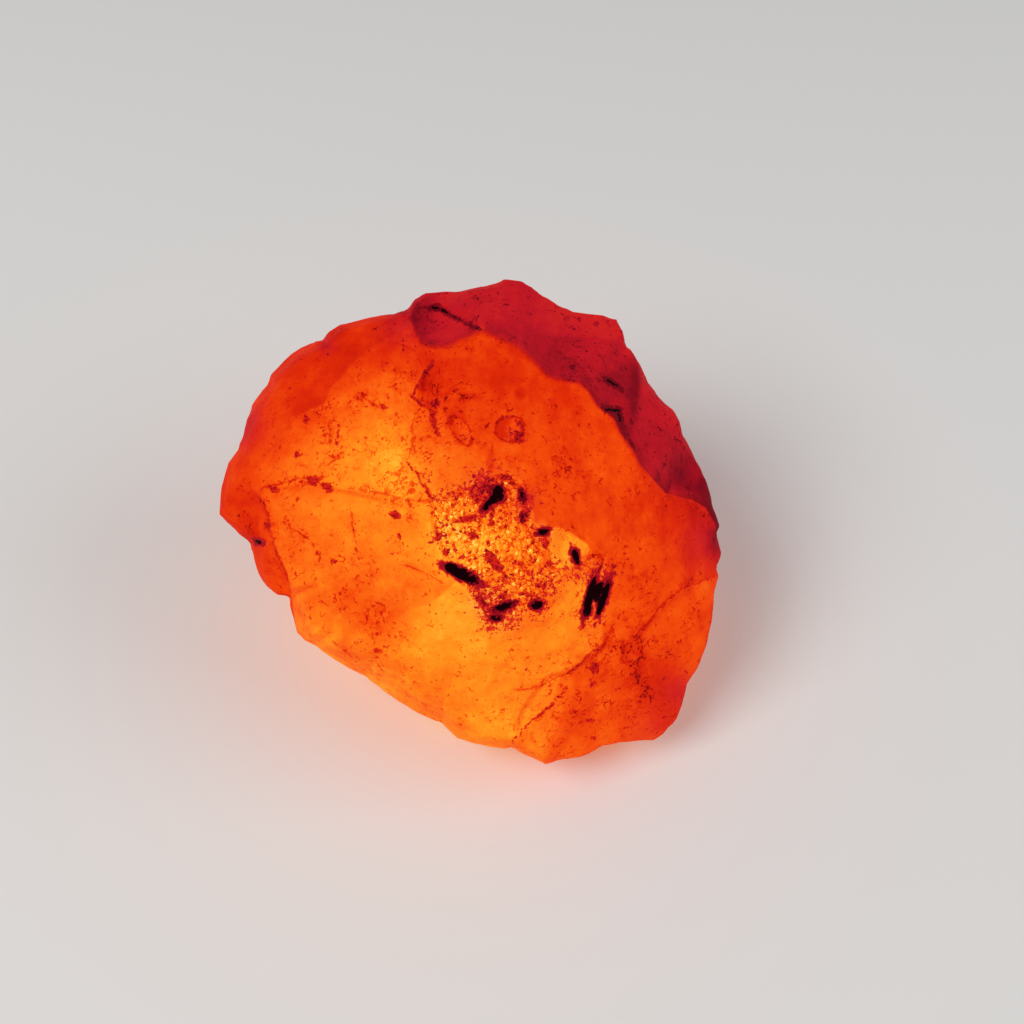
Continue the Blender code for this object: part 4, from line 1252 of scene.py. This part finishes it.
def veined(wiring, glow):
    """The glow under the veins, which are thin, crooked and broken, and under the smear round them."""
    near, broken = wiring.field("vein_near"), wiring.noise("vein break")
    crooked = wiring.plus(wiring.field("vein"), wiring.swing("vein bend"), VEIN_BEND)
    beside = wiring.minus(wiring.sum("ABSOLUTE", crooked), wiring.between(broken, *VEIN_WIDTHS))
    vein = wiring.times(wiring.between(beside, *VEIN_EDGE), wiring.between(near, *VEIN_END))
    smear = wiring.times(wiring.between(near, *SMEAR_REACH), wiring.between(broken, *SMEAR_GAPS))
    return wiring.plus(wiring.plus(glow, vein, VEIN_DROP), smear, SMEAR_DROP)


def seams_of(wiring):
    """The crooked dark seams between the grains of the hollow."""
    seam = wiring.near_zero(wiring.swing("seam"), SEAM_EDGE)
    return wiring.times(seam, wiring.between(wiring.noise("seam patch"), *SEAM_PATCHES))


def grained(wiring, levels):
    """A level of the glow that varies between these two from grain to grain."""
    return wiring.between(wiring.noise("grain"), *GRAIN_SPREAD, *levels)


def crusted(wiring, glow, crimson):
    """The glow and its crimson share under the dark red crust: ragged clumps, thick where the field says so."""
    clump = wiring.plus(wiring.noise("crust"), wiring.field("crust"), CRUST_SHARE)
    crust = wiring.between(clump, *CRUST_CLUMPS)
    glow = wiring.towards(glow, grained(wiring, CRUST_LEVELS), crust)
    return glow, wiring.most(crimson, wiring.times(crust, CRUST_CRIMSON))


def stained(wiring, glow, crimson, edge, levels, redness):
    """The glow and its crimson share under the dark red marks, whose edges are torn."""
    stain = wiring.between(wiring.plus(wiring.field("stain"), wiring.swing("stain edge"), STAIN_TEAR), *edge)
    glow = wiring.towards(glow, grained(wiring, levels), stain)
    return glow, wiring.most(crimson, wiring.times(stain, redness))


def bordered(wiring, glow, crimson, away, reach, level):
    """The glow and its crimson share in the thin crimson border round the pits, this far away from them."""
    border = wiring.between(away, *reach)
    return wiring.towards(glow, level, border), wiring.most(crimson, border)


def stone_material(settings):
    """The stone's skin: its painted glow, changed by painted light and shade past the edges and by clouds,
    specks, veins, seams, crust, dark red marks and pits.
    """
    wiring = Wiring("cloudy orange corundum")
    glow = clouded(wiring, past_edges(wiring, wiring.field("glow")))
    glow, specks = specked(wiring, glow)
    glow = veined(wiring, glow)
    hollow = wiring.between(wiring.plus(wiring.field("hollow"), wiring.swing("edge wander")), *HOLLOW_EDGE)
    glow = wiring.plus(glow, wiring.times(seams_of(wiring), hollow), SEAM_DROP)
    glow, crimson = crusted(wiring, glow, wiring.field("crimson"))
    glow, crimson = stained(wiring, glow, crimson, *STONE_STAINS)
    pit, ragged = wiring.field("pit"), wiring.swing("pit edge")
    glow, crimson = bordered(wiring, glow, crimson, wiring.plus(pit, ragged, BORDER_RAGS), *STONE_BORDER)
    dark = wiring.between(wiring.plus(pit, ragged, PIT_RAGS), *STONE_BLACK)
    painted_glow_skin(wiring, glow, crimson, dark, settings)
    rough = wiring.plus(settings.roughness - POLISH_DROP, wiring.noise("polish"), POLISH_SPREAD)
    wiring.put(wiring.shader.inputs["Roughness"], rough)
    height = wiring.plus(wiring.noise("coarse relief"), wiring.noise("fine relief"), FINE_RELIEF_SHARE)
    wiring.put(wiring.shader.inputs["Normal"], wiring.bump(wiring.plus(height, specks, SPECK_DENT), *BUMP))
    return wiring.material


def crystal_material(settings):
    """The crystals' skin: a painted glow of its own for each, with painted glints and painted light and shade
    on the facets, under the same seams, crust, marks and pits.
    """
    wiring = Wiring("fine corundum crystals")
    tone = wiring.field("tone")
    glow = wiring.plus(wiring.field("glow"), wiring.swing("crystal cluster"), CLUSTER_SHARE)
    # Each crystal's own tone, and painted glints on the brightest few.
    for tones in (TONES, GLINT_TONES):
        glow = wiring.plus(glow, wiring.between(tone, *tones))
    # Painted light and shade: a facet that faces the lit side glows more, one turned away less.
    facing = wiring.node("ShaderNodeVectorMath", operation="DOT_PRODUCT")
    wiring.put(facing.inputs[0], wiring.node("ShaderNodeNewGeometry").outputs["Normal"])
    facing.inputs[1].default_value = LIT_FROM
    glow = wiring.plus(glow, wiring.minus(facing.outputs["Value"], FACET_LEVEL), FACET_GAIN)
    glow = wiring.plus(glow, seams_of(wiring), SEAM_DROP)
    gathered = wiring.plus(RED_LEVEL, wiring.noise("red crystals"), RED_SHARE)
    red = wiring.between(wiring.minus(tone, gathered), *RED_TONES)
    crimson = wiring.most(wiring.field("crimson"), wiring.times(red, RED_CRYSTAL_CRIMSON))
    glow = wiring.towards(glow, grained(wiring, RED_CRYSTAL_LEVELS), red)
    glow, crimson = crusted(wiring, glow, crimson)
    glow, crimson = stained(wiring, glow, crimson, *CRYSTAL_STAINS)
    glow, crimson = bordered(wiring, glow, crimson, wiring.field("pit"), *CRYSTAL_BORDER)
    dark = wiring.between(wiring.field("pit"), *CRYSTAL_BLACK)
    painted_glow_skin(wiring, glow, crimson, dark, settings)
    wiring.shader.inputs["Roughness"].default_value = CRYSTAL_ROUGHNESS
    return wiring.material


def floor_material(settings):
    wiring = Wiring("pale studio floor")
    shaded = [FLOOR_SHADE * part for part in settings.floor_colour[:3]] + [1]
    colour = wiring.mix(wiring.noise("floor"), settings.floor_colour, shaded)
    wiring.put(wiring.shader.inputs["Base Color"], colour)
    wiring.shader.inputs["Roughness"].default_value = FLOOR_ROUGHNESS
    wiring.shader.inputs["Specular IOR Level"].default_value = FLOOR_GLOSS
    return wiring.material


# ---------------------------------------------------------------------------- the crystals of the hollow


# A crystal is a block, a pebble or a prism, stretched between these shares of its size. They stand thickest
# from this far inside the hollow's edge, and thin out by the pits, from this distance on over this span.
PEBBLE = {"Radius": 0.62, "Subdivisions": 1}
PRISM = {"Vertices": 6, "Radius Top": 0.25, "Radius Bottom": 0.5, "Depth": 1.2}
STRETCH = ((0.5, 0.5, 0.5), (1.3, 1.1, 1.0))
FULL_TURN = ((0, 0, 0), (2 * math.pi, 2 * math.pi, 2 * math.pi))
CROWDED_INSIDE = 0.8
CLEAR_OF_PITS = (-0.1, 0.4)


class Tree:
    """A Geometry Nodes tree being built, whose inputs become the inputs of its modifier."""

    def __init__(self, name):
        self.group = bpy.data.node_groups.new(name, "GeometryNodeTree")
        self.group.interface.new_socket("Geometry", in_out="INPUT", socket_type="NodeSocketGeometry")
        self.group.interface.new_socket("Geometry", in_out="OUTPUT", socket_type="NodeSocketGeometry")
        self.identifiers = {}
        self.way_in = self.node("NodeGroupInput")
        self.way_out = self.node("NodeGroupOutput")

    def input(self, name, kind):
        made = self.group.interface.new_socket(name, in_out="INPUT", socket_type=kind)
        self.identifiers[name] = made.identifier

    def given(self, name):
        return next(socket for socket in self.way_in.outputs if socket.name == name)

    def node(self, kind, inputs=(), **settings):
        made = self.group.nodes.new(kind)
        for name, value in settings.items():
            setattr(made, name, value)
        for name, value in dict(inputs).items():
            socket = made.inputs[name]
            if isinstance(value, bpy.types.NodeSocket):
                self.group.links.new(value, socket)
            else:
                socket.default_value = value
        return made

    def random(self, kind, low, high, seed):
        made = self.node("FunctionNodeRandomValue", data_type=kind)
        of_kind = [socket for socket in made.inputs if socket.enabled and socket.name in ("Min", "Max")]
        of_kind[0].default_value = low
        of_kind[1].default_value = high
        next(socket for socket in made.inputs if socket.name == "Seed" and socket.enabled).default_value = seed
        return next(socket for socket in made.outputs if socket.enabled)


def crystal_tree():
    """Strews small crystals over a mesh, thick by its crowding, each turned and stretched its own way."""
    tree = Tree("strewn crystals")
    for name, kind in (("Crystal size", "Float"), ("Crystals per area", "Float"), ("Seed", "Int"),
                       ("Material", "Material")):
        tree.input(name, "NodeSocket" + kind)
    crowding = tree.node("GeometryNodeInputNamedAttribute", {"Name": "crowding"}, data_type="FLOAT")
    thick = tree.node("ShaderNodeMath", operation="MULTIPLY")
    tree.group.links.new(tree.given("Crystals per area"), thick.inputs[0])
    tree.group.links.new(next(s for s in crowding.outputs if s.enabled), thick.inputs[1])
    points = tree.node("GeometryNodeDistributePointsOnFaces", {
        "Mesh": tree.given("Geometry"), "Density": thick.outputs[0], "Seed": tree.given("Seed"),
    })
    block = tree.node("GeometryNodeMeshCube")
    pebble = tree.node("GeometryNodeMeshIcoSphere", PEBBLE)
    prism = tree.node("GeometryNodeMeshCone", PRISM)
    kinds = tree.node("GeometryNodeGeometryToInstance")
    for shape in (block, pebble, prism):
        tree.group.links.new(shape.outputs["Mesh"], kinds.inputs["Geometry"])
    stretch = tree.node("ShaderNodeVectorMath", operation="SCALE")
    tree.group.links.new(tree.random("FLOAT_VECTOR", *STRETCH, 11), stretch.inputs[0])
    tree.group.links.new(tree.given("Crystal size"), stretch.inputs["Scale"])
    strewn = tree.node("GeometryNodeInstanceOnPoints", {
        "Points": points.outputs["Points"], "Instance": kinds.outputs[0], "Pick Instance": True,
        "Instance Index": tree.random("INT", 0, 2, 12),
        "Rotation": tree.random("FLOAT_VECTOR", *FULL_TURN, 13), "Scale": stretch.outputs[0],
    })
    toned = tree.node("GeometryNodeStoreNamedAttribute", {"Geometry": strewn.outputs[0], "Name": "tone"},
                      data_type="FLOAT", domain="INSTANCE")
    value = next(socket for socket in toned.inputs if socket.name == "Value" and socket.enabled)
    tree.group.links.new(tree.random("FLOAT", 0.0, 1.0, 14), value)
    real = tree.node("GeometryNodeRealizeInstances", {"Geometry": toned.outputs[0]})
    coated = tree.node("GeometryNodeSetMaterial", {
        "Geometry": real.outputs[0], "Material": tree.given("Material"),
    })
    tree.group.links.new(coated.outputs[0], tree.way_out.inputs[0])
    return tree


def crust_mesh(stone):
    """The patch of the stone that the crystals grow on, with how thick they stand."""
    patch = bmesh.new()
    patch.from_mesh(stone)
    hollow = patch.verts.layers.float["hollow"]
    pit = patch.verts.layers.float["pit"]
    bare = [face for face in patch.faces if min(vertex[hollow] for vertex in face.verts) < 0]
    bmesh.ops.delete(patch, geom=bare, context="FACES")
    crowding = patch.verts.layers.float.new("crowding")
    nearest, span = CLEAR_OF_PITS
    for vertex in patch.verts:
        inside = min(max(vertex[hollow] / CROWDED_INSIDE, 0.0), 1.0)
        clear = min(max((vertex[pit] - nearest) / span, 0.0), 1.0)
        vertex[crowding] = inside * clear
    mesh = bpy.data.meshes.new("crust")
    patch.to_mesh(mesh)
    patch.free()
    return mesh


def strewn_mesh(patch, settings, material):
    """The crystals as one plain mesh."""
    tree = crystal_tree()
    carrier = bpy.data.objects.new("crust", patch)
    bpy.context.scene.collection.objects.link(carrier)
    modifier = carrier.modifiers.new("crystals", "NODES")
    modifier.node_group = tree.group
    modifier[tree.identifiers["Crystal size"]] = settings.crystal_size
    modifier[tree.identifiers["Crystals per area"]] = settings.crystals_per_mm2 / MM**2
    modifier[tree.identifiers["Seed"]] = settings.seed
    modifier[tree.identifiers["Material"]] = material
    carrier.update_tag()
    graph = bpy.context.evaluated_depsgraph_get()
    mesh = bpy.data.meshes.new_from_object(carrier.evaluated_get(graph), depsgraph=graph)
    carrier.modifiers.remove(modifier)
    bpy.data.objects.remove(carrier)
    return mesh


# ---------------------------------------------------------------------------- settings, operators and panel


class StoneSettings(PropertyGroup):
    """The finish of the stone and its crystals, and the strength of their painted glow."""

    relief: FloatProperty(
        name="Fine relief", description="Share of the chips, ripples and grains that the solid leaves out",
        default=1.0, min=0.0, max=2.0, subtype="FACTOR",
    )
    # The strength of the emission, which is painted light: a lamp below shining through the stone.
    painted_glow_strength: FloatProperty(
        name="Shine", description="How strongly the stone gives out its own colour", default=0.88, min=0.0,
        max=2.0,
    )
    gloss: FloatProperty(
        name="Gloss", description="Level of the surface's reflection", default=0.01, min=0.0, max=1.0,
        subtype="FACTOR",
    )
    roughness: FloatProperty(
        name="Roughness", description="Mean roughness of the broken surface", default=0.55, min=0.0, max=1.0,
        subtype="FACTOR",
    )
    crystal_size: FloatProperty(
        name="Crystal size", description="Mean width of a crystal in the hollow", default=0.00034, min=0.00005,
        max=0.002, precision=5, unit="LENGTH",
    )
    crystals_per_mm2: FloatProperty(
        name="Crystals per mm²", description="How many crystals grow on a square millimetre of the hollow",
        default=8.0, min=0.0, max=60.0,
    )
    seed: IntProperty(name="Seed", description="Sets where the crystals fall", default=5, min=0)


class StageSettings(PropertyGroup):
    """The floor, the light and the camera."""

    floor_colour: FloatVectorProperty(
        name="Floor", description="Colour of the floor", default=(0.86, 0.85, 0.83, 1.0), size=4, min=0.0,
        max=1.0, subtype="COLOR",
    )
    floor_side: FloatProperty(
        name="Floor side", description="Length of the floor's side", default=3.0, min=0.2, unit="LENGTH",
    )
    key_power: FloatProperty(
        name="Key light", description="Power of the large light in front on the left", default=2.2, min=0.0,
        unit="POWER",
    )
    fill_power: FloatProperty(
        name="Fill light", description="Power of the large light on the right", default=0.8, min=0.0,
        unit="POWER",
    )
    sky: FloatProperty(
        name="Room light", description="Strength of the even light from all round", default=0.32, min=0.0,
    )


def placed(name, data):
    """A new object at the origin with this mesh, light or camera."""
    thing = bpy.data.objects.new(name, data)
    bpy.context.scene.collection.objects.link(thing)
    return thing


class SAPPHIRE_OT_stone(Operator):
    """Builds the broken stone with its cracks, pits and hollow, in place of the plain solid"""

    bl_idname = "sapphire.stone"
    bl_label = "Stone"

    def execute(self, context):
        settings = context.scene.sapphire_stone
        mesh = stone_mesh(settings.relief)
        mesh.materials.append(stone_material(settings))
        stone = placed("stone", mesh)
        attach(stone, "root")
        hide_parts(NODE)
        return {"FINISHED"}


class SAPPHIRE_OT_crystals(Operator):
    """Strews fine crystals over the floor of the granular hollow"""

    bl_idname = "sapphire.crystals"
    bl_label = "Crystals"

    def execute(self, context):
        settings = context.scene.sapphire_stone
        patch = crust_mesh(bpy.data.objects["stone"].data)
        mesh = strewn_mesh(patch, settings, crystal_material(settings))
        if not mesh.polygons:
            raise RuntimeError("no crystal grew in the hollow")
        crystals = placed("crystals", mesh)
        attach(crystals, "root")
        return {"FINISHED"}


# The lights as (place, side, colour), in metres, and the colour of the room's even light.
KEY_LIGHT = ((-0.35, -0.25, 0.50), 0.35, (1.0, 0.98, 0.95))
FILL_LIGHT = ((0.45, -0.10, 0.30), 0.40, (0.95, 0.97, 1.0))
ROOM_COLOUR = (0.95, 0.97, 1.0, 1)

# The frame's side, and the place in it of the middle of the outline from the upper left corner, in pixels of
# 0.1 mm.
FRAME_SIDE = 1024
MIDDLE_IN_FRAME = (470, 522)
PIXEL = 0.1
SENSOR_WIDTH = 36
CLIP_START = 0.005


def outline_middle():
    """Where the middle of the outline stands, in metres."""
    return Vector((*OUTLINE_MIDDLE, RESTING_HEIGHT)) * MM


def turned_thing(name, data, place, direction, track):
    """A new object at its place, whose track axis points this way."""
    thing = placed(name, data)
    thing.location = place
    thing.rotation_mode = "QUATERNION"
    thing.rotation_quaternion = direction.to_track_quat(track, "Y")
    return thing


def add_camera():
    """A camera that looks squarely at the face."""
    lens = bpy.data.cameras.new("camera")
    lens.sensor_width = SENSOR_WIDTH
    lens.lens = SENSOR_WIDTH * EYE_DISTANCE / (FRAME_SIDE * PIXEL)
    lens.shift_x = (FRAME_SIDE / 2 - MIDDLE_IN_FRAME[0]) / FRAME_SIDE
    lens.shift_y = (MIDDLE_IN_FRAME[1] - FRAME_SIDE / 2) / FRAME_SIDE
    lens.clip_start = CLIP_START
    view = Vector(FACE_NORMAL)
    eye = outline_middle() + view * EYE_DISTANCE * MM
    bpy.context.scene.camera = turned_thing("camera", lens, eye, -view, "-Z")


def add_light(name, power, place, side, colour):
    light = bpy.data.lights.new(name, "AREA")
    light.size = side
    light.energy = power
    light.color = colour
    turned_thing(name, light, place, Vector(place) - outline_middle(), "Z")


class SAPPHIRE_OT_stage(Operator):
    """Lays the pale floor and sets the soft lights and the camera"""

    bl_idname = "sapphire.stage"
    bl_label = "Floor, lights and camera"

    def execute(self, context):
        settings = context.scene.sapphire_stage
        bpy.ops.mesh.primitive_plane_add(size=settings.floor_side)
        floor = context.object
        floor.name = "floor"
        floor.data.materials.append(floor_material(settings))
        world = bpy.data.worlds.new("room")
        world.use_nodes = True
        background = world.node_tree.nodes["Background"]
        background.inputs["Color"].default_value = ROOM_COLOUR
        background.inputs["Strength"].default_value = settings.sky
        context.scene.world = world
        add_light("key", settings.key_power, *KEY_LIGHT)
        add_light("fill", settings.fill_power, *FILL_LIGHT)
        add_camera()
        context.scene.view_settings.view_transform = "Standard"
        return {"FINISHED"}


class SAPPHIRE_PT_panel(Panel):
    """Lists the pieces and the settings in the sidebar"""

    bl_idname = "SAPPHIRE_PT_panel"
    bl_label = "Rough Sapphire"
    bl_space_type = "VIEW_3D"
    bl_region_type = "UI"
    bl_category = "Sapphire"

    def draw(self, context):
        for settings in (context.scene.sapphire_stone, context.scene.sapphire_stage):
            column = self.layout.column()
            for name in settings.__annotations__:
                column.prop(settings, name)
        for operator in OPERATORS:
            self.layout.operator(operator.bl_idname)


OPERATORS = (SAPPHIRE_OT_stone, SAPPHIRE_OT_crystals, SAPPHIRE_OT_stage)
CLASSES = (StoneSettings, StageSettings, *OPERATORS, SAPPHIRE_PT_panel)


def register():
    for kind in CLASSES:
        bpy.utils.register_class(kind)
    bpy.types.Scene.sapphire_stone = PointerProperty(type=StoneSettings)
    bpy.types.Scene.sapphire_stage = PointerProperty(type=StageSettings)


def unregister():
    del bpy.types.Scene.sapphire_stage
    del bpy.types.Scene.sapphire_stone
    for kind in reversed(CLASSES):
        bpy.utils.unregister_class(kind)


def main():
    register()
    bpy.ops.sapphire.stone()
    bpy.ops.sapphire.crystals()
    bpy.ops.sapphire.stage()


if __name__ == "__main__":
    main()
